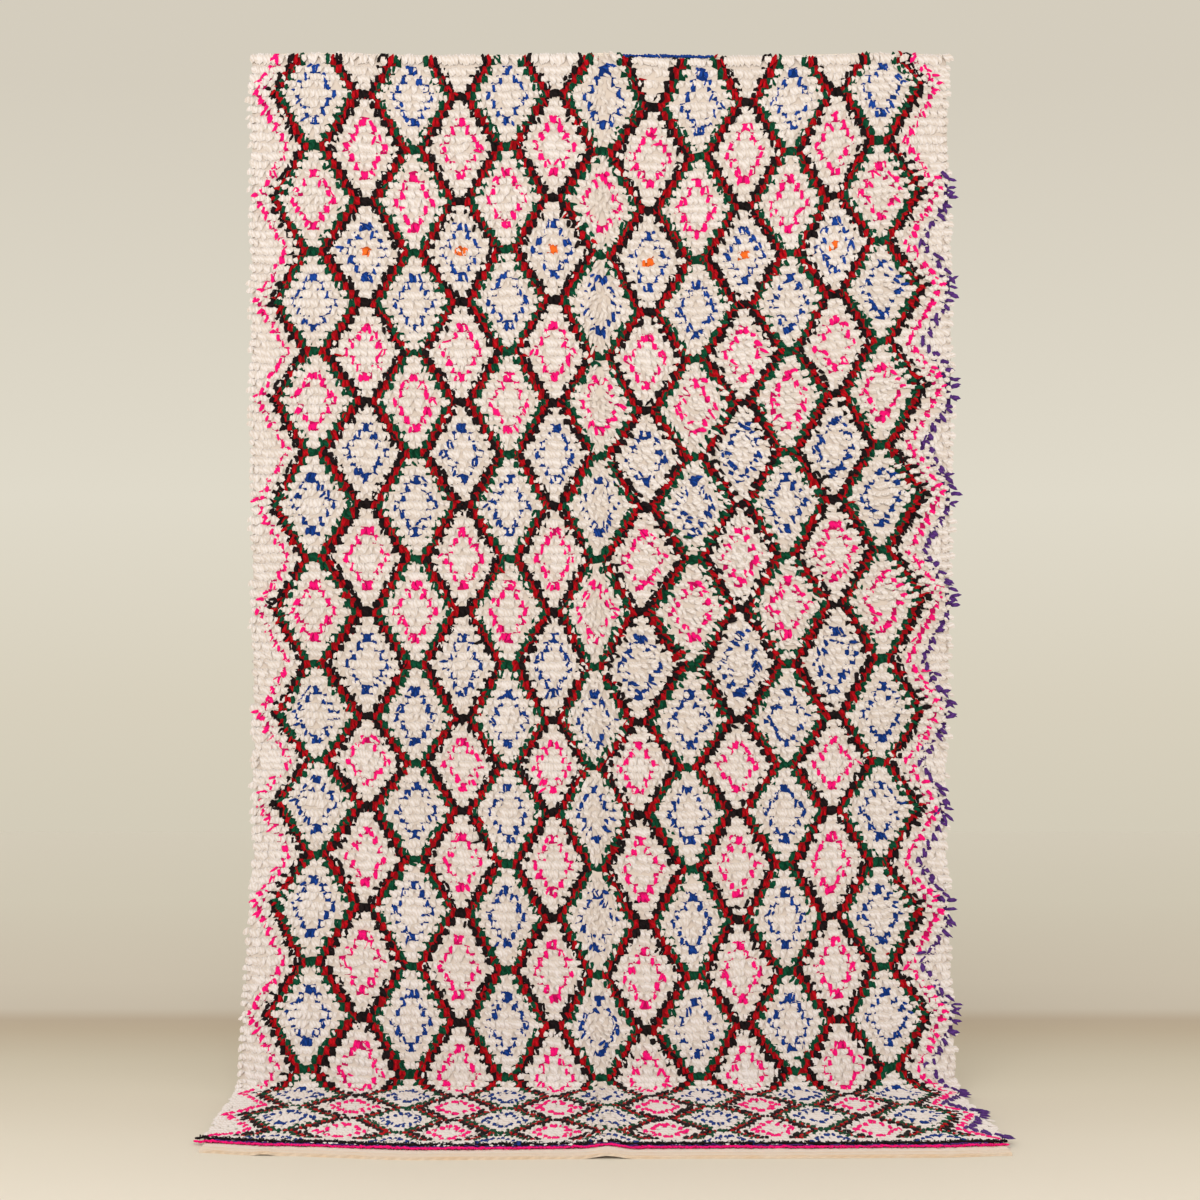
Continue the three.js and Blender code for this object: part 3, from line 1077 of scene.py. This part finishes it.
def sums_of(tree):
    """Short functions that add, subtract and multiply sockets or numbers in a tree."""
    return [partial(add_math, tree, operation) for operation in ("ADD", "SUBTRACT", "MULTIPLY")]


def add_ribs(tree, value, per_unit):
    """Round ribs, this many for each unit of a value. Returns their height from 0 to 1."""
    sine = add_math(tree, "SINE", add_math(tree, "MULTIPLY", value, math.pi * per_unit))
    return add_math(tree, "ABSOLUTE", sine)


def add_mix(tree, share, first, second, kind="RGBA"):
    """A mix of two colours, or of two values. Returns its output."""
    inputs = {"Factor": share, "A": first, "B": second}
    return add_node(tree, "Mix", inputs, data_type=kind).outputs["Result"]


def add_shade(tree, colour, factor):
    """A colour made darker or lighter by a factor. Returns its output."""
    return add_node(tree, "VectorMath", {0: colour, "Scale": factor}, operation="SCALE").outputs["Vector"]


def read_chart(tree):
    """The place on a piece's own chart. Returns the whole of it, then how far across and up it is."""
    chart = add_node(tree, "UVMap", uv_map=WOOL_CHART).outputs["UV"]
    split = add_node(tree, "SeparateXYZ", {"Vector": chart})
    return chart, split.outputs["X"], split.outputs["Y"]


def build_group(name, inputs):
    """A new shader node group that gives a colour and a height, with its input and output nodes."""
    group = bpy.data.node_groups.new(name, "ShaderNodeTree")
    for label, value in inputs.items():
        kind = "NodeSocketFloat" if isinstance(value, float) else "NodeSocketColor"
        socket = group.interface.new_socket(name=label, in_out="INPUT", socket_type=kind)
        socket.default_value = value
    group.interface.new_socket(name="Colour", in_out="OUTPUT", socket_type="NodeSocketColor")
    group.interface.new_socket(name="Height", in_out="OUTPUT", socket_type="NodeSocketFloat")
    return group, group.nodes.new("NodeGroupInput"), group.nodes.new("NodeGroupOutput")


def cloth_material(name, group, values, finish, bump):
    """A material whose colour and relief come from a shader node group with its own values."""
    material = bpy.data.materials.new(name)
    material.use_nodes = True
    tree = material.node_tree
    cloth = add_node(tree, "Group", node_tree=group)
    fill_inputs(tree, cloth, values)
    relief = add_node(tree, "Bump", {**bump, "Height": cloth.outputs["Height"]})
    look = {**finish, "Base Color": cloth.outputs["Colour"], "Normal": relief.outputs["Normal"]}
    fill_inputs(tree, tree.nodes["Principled BSDF"], look)
    return material


def yarn_group():
    """Spun wool: the tint of each lock, its fibres and twist, read from the chart, with painted shade in
    the grooves of the twist and towards the root.
    """
    known = bpy.data.node_groups.get("spun_wool")
    if known:
        return known
    given_values = {
        "Deep Colour": (0.5, 0.5, 0.5, 1),
        "Pale Colour": (0.8, 0.8, 0.8, 1),
        "Root Shade": 0.5,
        "Fibres": 3.0,
        "Twist": 0.7,
        "Stroke Relief": 0.35,
        "Stroke Tint": 0.45,
        "Fuzz Tint": 0.7,
    }
    group, given, made = build_group("spun_wool", given_values)
    plus, less, times = sums_of(group)
    chart, across, up = read_chart(group)
    strips = times(across, float(TINTS))
    tint = add_math(group, "DIVIDE", add_math(group, "FLOOR", strips), float(TINTS))
    turned = plus(add_math(group, "FRACT", strips), times(up, given.outputs["Twist"]))
    wave = add_math(group, "SINE", times(times(turned, given.outputs["Fibres"]), 2 * math.pi))
    stretched = add_node(group, "Mapping", {"Vector": chart, "Scale": (12.0, 0.6, 1.0)}).outputs["Vector"]
    fuzz = add_node(group, "TexNoise", {"Vector": stretched, "Scale": 38.0, "Detail": 3.0}).outputs["Fac"]
    height = plus(times(wave, given.outputs["Stroke Relief"]), fuzz)

    # Painted shade on the fibres: paler on the raised twist strokes, darker in their grooves, and following
    # the fuzz's relief, whose noise also varies the tone at random
    fuzz_shade_and_tone = times(less(fuzz, 0.5), given.outputs["Fuzz Tint"])
    stroke_shade = times(wave, given.outputs["Stroke Tint"])
    paleness = plus(tint, plus(fuzz_shade_and_tone, stroke_shade))
    colour = add_mix(group, paleness, given.outputs["Deep Colour"], given.outputs["Pale Colour"])
    # Painted shade: each lock darkens towards its root, down to the root shade
    from_root = {"Value": up, "From Max": 0.55, "To Min": given.outputs["Root Shade"]}
    shade = add_node(group, "MapRange", from_root).outputs["Result"]
    fill_inputs(group, made, {"Colour": add_shade(group, colour, shade), "Height": height})
    return group


def wool_material(context, wool):
    """The material of a wool, from the colour that the user has set."""
    known = bpy.data.materials.get(f"wool_{wool}_pile")
    if known:
        return known
    pale = getattr(context.scene.rug_wools, wool)
    deep = np.multiply(pale, WOOL_LOOKS[wool]["depth"])
    # The painted shade at the root and the sheen of this wool
    finish = IVORY_ROOT_SHADE_AND_SHEEN if wool == "ivory" else DYED_ROOT_SHADE_AND_SHEEN
    return cloth_material(
        f"wool_{wool}_pile",
        yarn_group(),
        {"Deep Colour": (*deep, 1), "Pale Colour": (*pale, 1), "Root Shade": finish["root_shade"]},
        {
            "Roughness": 0.92,
            "Specular IOR Level": 0.10,
            "Sheen Weight": finish["sheen"],
            "Sheen Roughness": 0.5,
        },
        {"Strength": 0.5, "Distance": 0.0010},
    )


def length_property(label, description, value, **limits):
    """A property that holds a length in metres."""
    return FloatProperty(
        name=label, description=description, default=value, subtype="DISTANCE", unit="LENGTH", **limits
    )


def colour_property(label, description, value):
    """A property that holds a colour."""
    return FloatVectorProperty(
        name=label, description=description, default=value, size=3, min=0.0, max=1.0, subtype="COLOR"
    )


class RugPileSettings(bpy.types.PropertyGroup):
    fullness: FloatProperty(
        name="Fullness",
        description="How thick the locks of the pile are, as a factor",
        default=1.0,
        min=0.2,
        max=2.0,
        subtype="FACTOR",
    )
    pile_rise: length_property(
        "Pile Rise", "How far the belly of a lock stands over the ground weave", 0.0104, min=0.001, max=0.03
    )
    seed: IntProperty(name="Seed", description="Picks another scatter of the same pile", default=7, min=0)


class RugWools(bpy.types.PropertyGroup):
    ivory: colour_property("Ivory", "Undyed wool of the field", (0.785, 0.735, 0.730))
    black: colour_property("Black", "Wool of the inner lattice line", (0.014, 0.009, 0.010))
    red: colour_property("Red", "Wool of the middle lattice line", (0.52, 0.003, 0.010))
    green: colour_property("Green", "Wool of the outer lattice line", (0.003, 0.075, 0.035))
    pink: colour_property("Pink", "Hot pink wool of motifs and borders", (0.95, 0.006, 0.20))
    blue: colour_property("Blue", "Blue wool of motifs", (0.010, 0.060, 0.34))
    orange: colour_property("Orange", "Wool of the few hearts", (0.95, 0.16, 0.02))
    purple: colour_property("Purple", "Wool of the outer right border", (0.10, 0.035, 0.22))
    weft: colour_property("Weft", "Yarn of the ground weave", (0.74, 0.64, 0.50))
    end_cloth: colour_property("End Cloth", "Flat-woven end", (0.79, 0.70, 0.61))
    # End Edge is the tan that the lines next to the end of the flat-woven end take, raggedly
    end_edge: colour_property("End Edge", "Worn edge of the flat-woven end", (0.74, 0.54, 0.36))


class RugStageSettings(bpy.types.PropertyGroup):
    lens: FloatProperty(
        name="Lens", description="Focal length of the camera", default=66.4, min=10.0, unit="CAMERA"
    )
    distance: length_property(
        "Camera Distance", "From the camera to the back of the hanging part", 4.72, min=0.5
    )
    eye_height: length_property("Camera Height", "Height of the camera over the floor", 0.9147, min=0.05)
    rise: FloatProperty(
        name="Frame Rise",
        description="How far the frame is shifted up, as a share of its width",
        default=0.0447,
    )
    key_power: FloatProperty(
        name="Key Light",
        description="Power of the large soft light",
        default=120.0,
        min=0.0,
        subtype="POWER",
    )
    fill_strength: FloatProperty(
        name="Fill",
        description="Strength of the light that comes from all round",
        default=1.25,
        min=0.0,
    )


class RUG_OT_weave_ground(bpy.types.Operator):
    """Weaves the flat ground that carries the knots, with its plain end"""

    bl_idname = "rug.weave_ground"
    bl_label = "Weave Ground"

    def execute(self, context):
        stations = ground_stations()
        shape = bmesh.new()
        bmesh.ops.create_grid(shape, x_segments=KNOTS_ACROSS, y_segments=len(stations) - 1, size=1.0)
        bmesh.ops.solidify(shape, geom=shape.faces[:], thickness=1.0)
        bmesh.ops.recalc_face_normals(shape, faces=shape.faces[:])
        mesh = mesh_of("ground_weave", shape)
        lay_ground(mesh, stations)
        colour_ground(mesh, context, len(stations))
        piece = add_piece("ground_weave", mesh, ground_material(context, len(stations) - 1))
        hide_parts(RUG_NODE)
        return {"FINISHED"}


def ground_stations():
    """Lengths along the weave where the ground has a line of points: one for each row of knots."""
    rows = HEADER_LENGTH + ROW_PITCH * np.arange(PILE_ROWS + 1)
    apron = PILE_END + APRON_LENGTH * np.arange(1, APRON_LINES + 1) / APRON_LINES
    return np.concatenate([[0.0], rows, apron])


def lay_ground(mesh, stations):
    """Moves the points of the flat slab to their places on the hung rug, and raises the pile's bed."""
    count = len(mesh.vertices)
    flat = np.empty(count * 3)
    mesh.vertices.foreach_get("co", flat)
    x, y, z = flat.reshape(-1, 3).T
    line = np.rint((1 - y) / 2 * (len(stations) - 1)).astype(int)
    knot = (x + 1) / 2 * KNOTS_ACROSS
    front = z > (z.min() + z.max()) / 2
    row = np.clip(line - 1.0, 0, PILE_ROWS)
    in_pile = (line >= 1) & (line <= PILE_ROWS + 1)
    along = np.where(in_pile, along_at(knot, row), stations[line])
    across = across_at(knot, row, along)
    off_sides = (knot > 0.5) & (knot < KNOTS_ACROSS - 0.5)
    bed = front & off_sides & (line > 1) & (line < PILE_ROWS + 1)
    height = np.select([bed, front], [PILE_BED, WEAVE_THICKNESS], 0.0)
    random = np.random.default_rng(BED_SEED)
    along = along + BED_SCATTER["along"] * bed * random.uniform(-1.0, 1.0, count)
    across = across + BED_SCATTER["across"] * bed * random.uniform(-1.0, 1.0, count)
    mesh.vertices.foreach_set("co", lay(across, along, height).reshape(-1))
    mesh.update()


def by_face(values, pick):
    """For each corner, what is picked from the values of the four corners of its face."""
    return np.repeat(pick(values.reshape(-1, 4), axis=1), 4)


def colour_ground(mesh, context, lines):
    """Gives each corner its place on the ground's chart and the colour of the knot that it is part of,
    darkened on the front by the painted shade of the pile's bed.
    """
    vertex = np.empty(len(mesh.loops), int)
    mesh.loops.foreach_get("vertex_index", vertex)
    per_line = KNOTS_ACROSS + 1
    front = vertex < per_line * lines
    place = vertex % (per_line * lines)
    line = lines - 1 - place // per_line
    knot = place % per_line
    face_front = by_face(front, np.all)
    rim = by_face(front, np.any) & ~face_front

    face_line = by_face(line, np.min)
    row = face_line - 1
    face_knot = np.clip(by_face(knot, np.min), 0, KNOTS_ACROSS - 1)
    wool = chart_knots()[np.clip(row, 0, PILE_ROWS - 1), face_knot]
    wools = np.array([getattr(context.scene.rug_wools, name)[:] for name in WOOLS])
    # Painted shade: the front of the bed is darker than its knots' wool, tan under ivory and much darker
    # under dyed wool
    bed = np.where((wool == IVORY)[:, None], BED_PAINTED_SHADE, DYED_BED_PAINTED_SHADE)
    knot_colour = wools[wool] * np.where(face_front[:, None], bed, 1.0)
    in_pile = (row >= 0) & (row < PILE_ROWS)
    colour = np.where(in_pile[:, None], knot_colour, end_colours(context, face_line, knot, lines))
    layer = mesh.color_attributes.new("knot_colour", "FLOAT_COLOR", "CORNER")
    layer.data.foreach_set("color", np.insert(colour, 3, 1.0, axis=1).reshape(-1))

    u = GROUND_MARGIN + GROUND_WIDE * knot / KNOTS_ACROSS + FRONT_PLACE * front
    u = np.where(rim, RIM_PLACE + RIM_WIDE * (place % 2), u)
    v = 1 - GROUND_MARGIN - GROUND_HIGH * line / (lines - 1)
    chart = mesh.uv_layers.new(name=WOOL_CHART)
    chart.uv.foreach_set("vector", np.stack([u, v], -1).reshape(-1))


def end_colours(context, line, knot, lines):
    """The colour of the flat-woven end at each line: pale cloth, a tan shoot, and a ragged tan edge."""
    wools = context.scene.rug_wools
    from_end = np.clip(lines - 2 - line, 0, len(END_TAN_SHARES["even"]) - 1)
    ragged = 0.5 + 0.5 * unevenness("ragged_end", (knot / KNOTS_ACROSS - 0.5) * GROUND_WIDTH)
    # The share of the tan edge colour in each line, raggedly more towards the edge
    tone_share = np.array(END_TAN_SHARES["even"])[from_end] + np.array(END_TAN_SHARES["ragged"])[from_end] * ragged
    tone_share = tone_share[:, None]
    return np.array(wools.end_cloth[:]) * (1 - tone_share) + np.array(wools.end_edge[:]) * tone_share


def woven_group():
    """The ground weave: weft ribs over warps, and on the back the two loops of each knot, with painted
    shade between the ribs and the loops.
    """
    given_values = {
        "Yarn Colour": (0.8, 0.7, 0.6, 1),
        "Shadow Colour": (0.5, 0.4, 0.3, 1),
        "Knot Colour": (0.5, 0.5, 0.5, 1),
        "Lines": 1.0,
    }
    group, given, made = build_group("ground_cloth", given_values)
    plus, less, times = sums_of(group)
    chart, across, up = read_chart(group)
    on_front = add_math(group, "GREATER_THAN", across, FRONT_PLACE - GROUND_MARGIN / 2)
    on_back = less(1.0, on_front)
    from_side = less(less(across, times(on_front, FRONT_PLACE)), GROUND_MARGIN)
    knots = times(from_side, KNOTS_ACROSS / GROUND_WIDE)
    down = add_math(group, "DIVIDE", less(1 - GROUND_MARGIN, up), GROUND_HIGH)
    line = times(down, given.outputs["Lines"])
    below_header = add_math(group, "GREATER_THAN", line, 1.0)
    in_pile = times(below_header, add_math(group, "LESS_THAN", line, PILE_ROWS + 1.0))

    shoots = times(line, plus(times(in_pile, MORE_PILE_SHOOTS), END_SHOOTS))
    stagger = times(add_math(group, "FLOOR", shoots), 0.5)
    warps = plus(times(knots, WARPS_PER_KNOT), stagger)
    ribs = times(add_ribs(group, shoots, 1), RIB_SHARE)
    cloth = plus(ribs, times(add_ribs(group, warps, 1), 1 - RIB_SHARE))

    phase = add_math(group, "FRACT", line)
    knot_band = add_math(group, "COMPARE", phase, KNOT_BAND["middle"], KNOT_BAND["half"])
    band = add_math(group, "MAXIMUM", on_front, times(on_back, knot_band))
    knotted = times(band, in_pile)
    loops = add_math(group, "POWER", add_ribs(group, knots, 2), 0.5)

    noise = add_node(group, "TexNoise", {"Vector": chart, "Scale": 160.0, "Detail": 4.0}).outputs["Fac"]
    # Rib height and random noise: where it is low, the weft takes its painted shadow colour, between the
    # ribs
    tone_share = plus(cloth, less(noise, 0.5))
    yarn = add_mix(group, tone_share, given.outputs["Shadow Colour"], given.outputs["Yarn Colour"])
    # Painted shade on the knots' colour: darker between the loops of each knot on the back, and barely on
    # the front
    swing = less(BACK_SHADE["swing"], times(on_front, BACK_SHADE["swing"] - FRONT_SHADE["swing"]))
    least = plus(BACK_SHADE["least"], times(on_front, FRONT_SHADE["least"] - BACK_SHADE["least"]))
    knot_colour = add_shade(group, given.outputs["Knot Colour"], plus(times(loops, swing), least))
    pile_part = add_mix(group, knotted, yarn, knot_colour)
    # Painted shade on the flat-woven end: darker between its ribs
    end_shade = plus(times(tone_share, END_SHADE["swing"]), END_SHADE["least"])
    end_part = add_shade(group, given.outputs["Knot Colour"], end_shade)
    colour = add_mix(group, in_pile, end_part, pile_part)
    loop_relief = times(loops, times(on_back, LOOP_RELIEF))
    raised = add_mix(group, knotted, cloth, loop_relief, kind="FLOAT")
    fill_inputs(group, made, {"Colour": colour, "Height": plus(raised, times(noise, FUZZ_RELIEF))})
    return group


def ground_material(context, lines):
    """The material of the ground, which reads each knot's colour from the mesh."""
    weft = context.scene.rug_wools.weft
    shadow = np.multiply(weft, WEFT_SHADOW)
    material = cloth_material(
        "flat_ground_weave",
        woven_group(),
        {"Yarn Colour": (*weft, 1), "Shadow Colour": (*shadow, 1), "Lines": lines},
        {"Roughness": 0.95, "Specular IOR Level": 0.12},
        {"Strength": 0.7, "Distance": 0.0012},
    )
    tree = material.node_tree
    knots = add_node(tree, "VertexColor", layer_name="knot_colour")
    fill_inputs(tree, tree.nodes["Group"], {"Knot Colour": knots.outputs["Color"]})
    return material


class RUG_OT_twine_lines(bpy.types.Operator):
    """Twines the black, purple and pink lines across the front end, and the blue line at the top"""

    bl_idname = "rug.twine_lines"
    bl_label = "Twine Lines"

    def execute(self, context):
        for name in TWINES:
            twine_line(context, name)
        for name in FUZZ:
            fuzz_line(context, name)
        return {"FINISHED"}


def line_along(name, across):
    """Where along the weave a twined line lies, as it wanders from straight."""
    wander = LINE_WANDER * unevenness("line_wander", across)
    return TWINES[name]["along"] + wander + LINE_SHAKE * unevenness("line_shake", across)


def twine_line(context, name):
    """A row of slanting stitches across the weave."""
    size = TWINES[name]
    wool = size["wool"]
    left, right = (share * edge_at(1, size["along"]) for share in size["between"])
    count = int((right - left) / STITCH["pitch"])
    random = np.random.default_rng(STITCH_SEED + wool)
    chance = {key: spread * random.normal(0.0, 1.0, count) for key, spread in STITCH_CHANCE.items()}
    across = np.linspace(left, right, count) + chance["across"]
    stitches = {
        "across": across,
        "along": line_along(name, across),
        "lean": np.radians(STITCH["lean"] + chance["lean"]),
    }
    lifted = size["height"] + chance["height"] + LINE_LIFT * unevenness("line_lift", across, variant=wool)
    template = stitch_template()
    x, y, share = (column[None, :] for column in template["points"].T)
    beside = x * (STITCH["wide"] * (1 + chance["wide"]))[:, None]
    forward = (share - 0.5) * (STITCH["long"] * (1 + chance["long"]))[:, None]
    height = lifted[:, None] + y * (size["thick"] * (1 + chance["thick"]))[:, None]
    points = lay_leaning(stitches, beside, forward, height)
    add_wool_piece(context, name, joined_mesh(name, template, points, random.uniform(0, 1, count)), wool)


def fuzz_line(context, name):
    """Loose ends of wool that stand off a twined line."""
    size = FUZZ[name]
    count = size["count"]
    random = np.random.default_rng(FIBRE_SEED + size["wool"])
    half = edge_at(1, TWINES[size["line"]]["along"])
    across = random.uniform(-half, half, count)
    turned = random.choice((-1, 1), count) * size["away"]
    chance = {key: spread * random.normal(0.0, 1.0, count) for key, spread in FIBRE_CHANCE.items()}
    fibres = {
        "across": across,
        "along": line_along(size["line"], across) + chance["along"],
        "lean": np.radians(turned + chance["lean"]),
        "curl": chance["curl"],
        "wide": FIBRE["wide"] * (1 + chance["wide"]),
        "thick": np.full(count, FIBRE["thick"]),
        "long": FIBRE["long"] * (1 + chance["long"]),
        "rise": size["rise"] * (1 + chance["rise"]),
    }
    mesh = lock_mesh(name, lock_template(), fibres, random.uniform(*FIBRE_TINTS, count))
    add_wool_piece(context, name, mesh, size["wool"])


class RUG_OT_knot_pile(bpy.types.Operator):
    """Knots the pile, lock by lock, in the wools of the chart"""

    bl_idname = "rug.knot_pile"
    bl_label = "Knot Pile"

    def execute(self, context):
        template = lock_template()
        locks = pile_locks(context.scene.rug_pile)
        parts = {name: (IVORY, *rows) for name, rows in IVORY_BANDS.items()}
        for number, wool in enumerate(WOOLS):
            if number != IVORY:
                parts["pile_" + wool] = (number, 0, PILE_ROWS)
        for name, (number, first, past) in parts.items():
            chosen = (locks["wool"] == number) & (locks["row"] >= first) & (locks["row"] < past)
            taken = {key: values[chosen] for key, values in locks.items()}
            add_wool_piece(context, name, lock_mesh(name, template, taken, taken["tint"]), number)
        return {"FINISHED"}


class RUG_OT_declare_cloth(bpy.types.Operator):
    """Does nothing: the ground weave, the pile and the lines stay as they are"""

    bl_idname = "rug.declare_cloth"
    bl_label = "Declare Cloth"

    def execute(self, context):
        return {"FINISHED"}


def shade_ramp(tree, value, shades):
    """A colour that follows a value through a table of shades. Returns its output."""
    first = shades[0]["at"]
    last = shades[-1]["at"]
    share = add_node(tree, "MapRange", {"Value": value, "From Min": first, "From Max": last})
    ramp_node = add_node(tree, "ValToRGB", {"Fac": share.outputs["Result"]})
    stops = ramp_node.color_ramp.elements
    for i, shade in enumerate(shades):
        place = (shade["at"] - first) / (last - first)
        stop = stops[i] if i < 2 else stops.new(place)
        stop.position = place
        stop.color = (*shade["colour"], 1)
    return ramp_node.outputs["Color"]


def add_floor():
    """A pale floor with painted shade that darkens it a little behind the rug, and that fades into the air
    further back.
    """
    shape = bmesh.new()
    bmesh.ops.create_grid(shape, x_segments=1, y_segments=1, size=FLOOR_HALF)
    floor = put_in_scene("floor", mesh_of("floor", shape))
    material = bpy.data.materials.new("pale_floor")
    material.use_nodes = True
    tree = material.node_tree
    place = add_node(tree, "TexCoord").outputs["Object"]
    behind = add_node(tree, "SeparateXYZ", {"Vector": place}).outputs["Y"]
    # The floor's base colour carries the painted shade of the table of floor shades
    look = {"Roughness": 0.7, "Base Color": shade_ramp(tree, behind, FLOOR_SHADES)}
    fill_inputs(tree, tree.nodes["Principled BSDF"], look)
    floor.data.materials.append(material)


def light_air(context, strength):
    """Air with soft light from all round, which is seen in its own painted shades, darker low down and high
    up.
    """
    world = bpy.data.worlds.new("studio_air")
    context.scene.world = world
    world.use_nodes = True
    tree = world.node_tree
    sight = add_node(tree, "TexCoord").outputs["Generated"]
    rise = add_node(tree, "SeparateXYZ", {"Vector": sight}).outputs["Z"]
    seen = tree.nodes["Background"]
    # What the camera sees of the air is painted shade from the table of air shades
    fill_inputs(tree, seen, {"Color": shade_ramp(tree, rise, AIR_SHADES)})
    filling = add_node(tree, "Background", {"Color": (*FILL_COLOUR, 1), "Strength": strength})
    in_view = add_node(tree, "LightPath").outputs["Is Camera Ray"]
    lights = {"Fac": in_view, 1: filling.outputs["Background"], 2: seen.outputs["Background"]}
    either = add_node(tree, "MixShader", lights)
    fill_inputs(tree, tree.nodes["World Output"], {"Surface": either.outputs["Shader"]})


def add_key_light(power):
    """A large soft light in front of the rug, aimed at its middle."""
    light = bpy.data.lights.new("key_light", "AREA")
    light.energy = power
    light.shape = "RECTANGLE"
    light.size, light.size_y = KEY_SIZE
    key = put_in_scene("key_light", light)
    key.location = KEY_PLACE
    aim = Vector(KEY_AIM) - key.location
    key.rotation_euler = aim.to_track_quat("-Z", "Y").to_euler()


def add_camera(context, settings):
    """The camera, level and straight in front of the rug."""
    lens = bpy.data.cameras.new("camera")
    lens.lens = settings.lens
    lens.sensor_width = 36.0
    lens.shift_y = settings.rise
    camera = put_in_scene("camera", lens)
    camera.location = (MIDDLE_X, BACK_Y - settings.distance, settings.eye_height)
    camera.rotation_euler = (math.radians(90), 0, 0)
    context.scene.camera = camera


class RUG_OT_set_stage(bpy.types.Operator):
    """Sets the pale floor, the soft light and the camera"""

    bl_idname = "rug.set_stage"
    bl_label = "Set Stage"

    def execute(self, context):
        settings = context.scene.rug_stage
        add_floor()
        light_air(context, settings.fill_strength)
        add_key_light(settings.key_power)
        add_camera(context, settings)
        context.scene.view_settings.view_transform = "Standard"
        return {"FINISHED"}


class RUG_PT_tools(bpy.types.Panel):
    bl_label = "Knotted Pile Rug"
    bl_idname = "RUG_PT_tools"
    bl_space_type = "VIEW_3D"
    bl_region_type = "UI"
    bl_category = "Rug"

    def draw(self, context):
        for operator in OPERATORS:
            self.layout.operator(operator.bl_idname)


OPERATORS = (
    RUG_OT_weave_ground,
    RUG_OT_twine_lines,
    RUG_OT_knot_pile,
    RUG_OT_declare_cloth,
    RUG_OT_set_stage,
)
CLASSES = (RugPileSettings, RugWools, RugStageSettings, *OPERATORS, RUG_PT_tools)


def register():
    for part in CLASSES:
        bpy.utils.register_class(part)
    bpy.types.Scene.rug_pile = PointerProperty(type=RugPileSettings)
    bpy.types.Scene.rug_wools = PointerProperty(type=RugWools)
    bpy.types.Scene.rug_stage = PointerProperty(type=RugStageSettings)


def unregister():
    del bpy.types.Scene.rug_stage
    del bpy.types.Scene.rug_wools
    del bpy.types.Scene.rug_pile
    for part in reversed(CLASSES):
        bpy.utils.unregister_class(part)


def main():
    register()
    bpy.ops.rug.weave_ground()
    bpy.ops.rug.twine_lines()
    bpy.ops.rug.knot_pile()
    bpy.ops.rug.declare_cloth()
    bpy.ops.rug.set_stage()


if __name__ == "__main__":
    main()
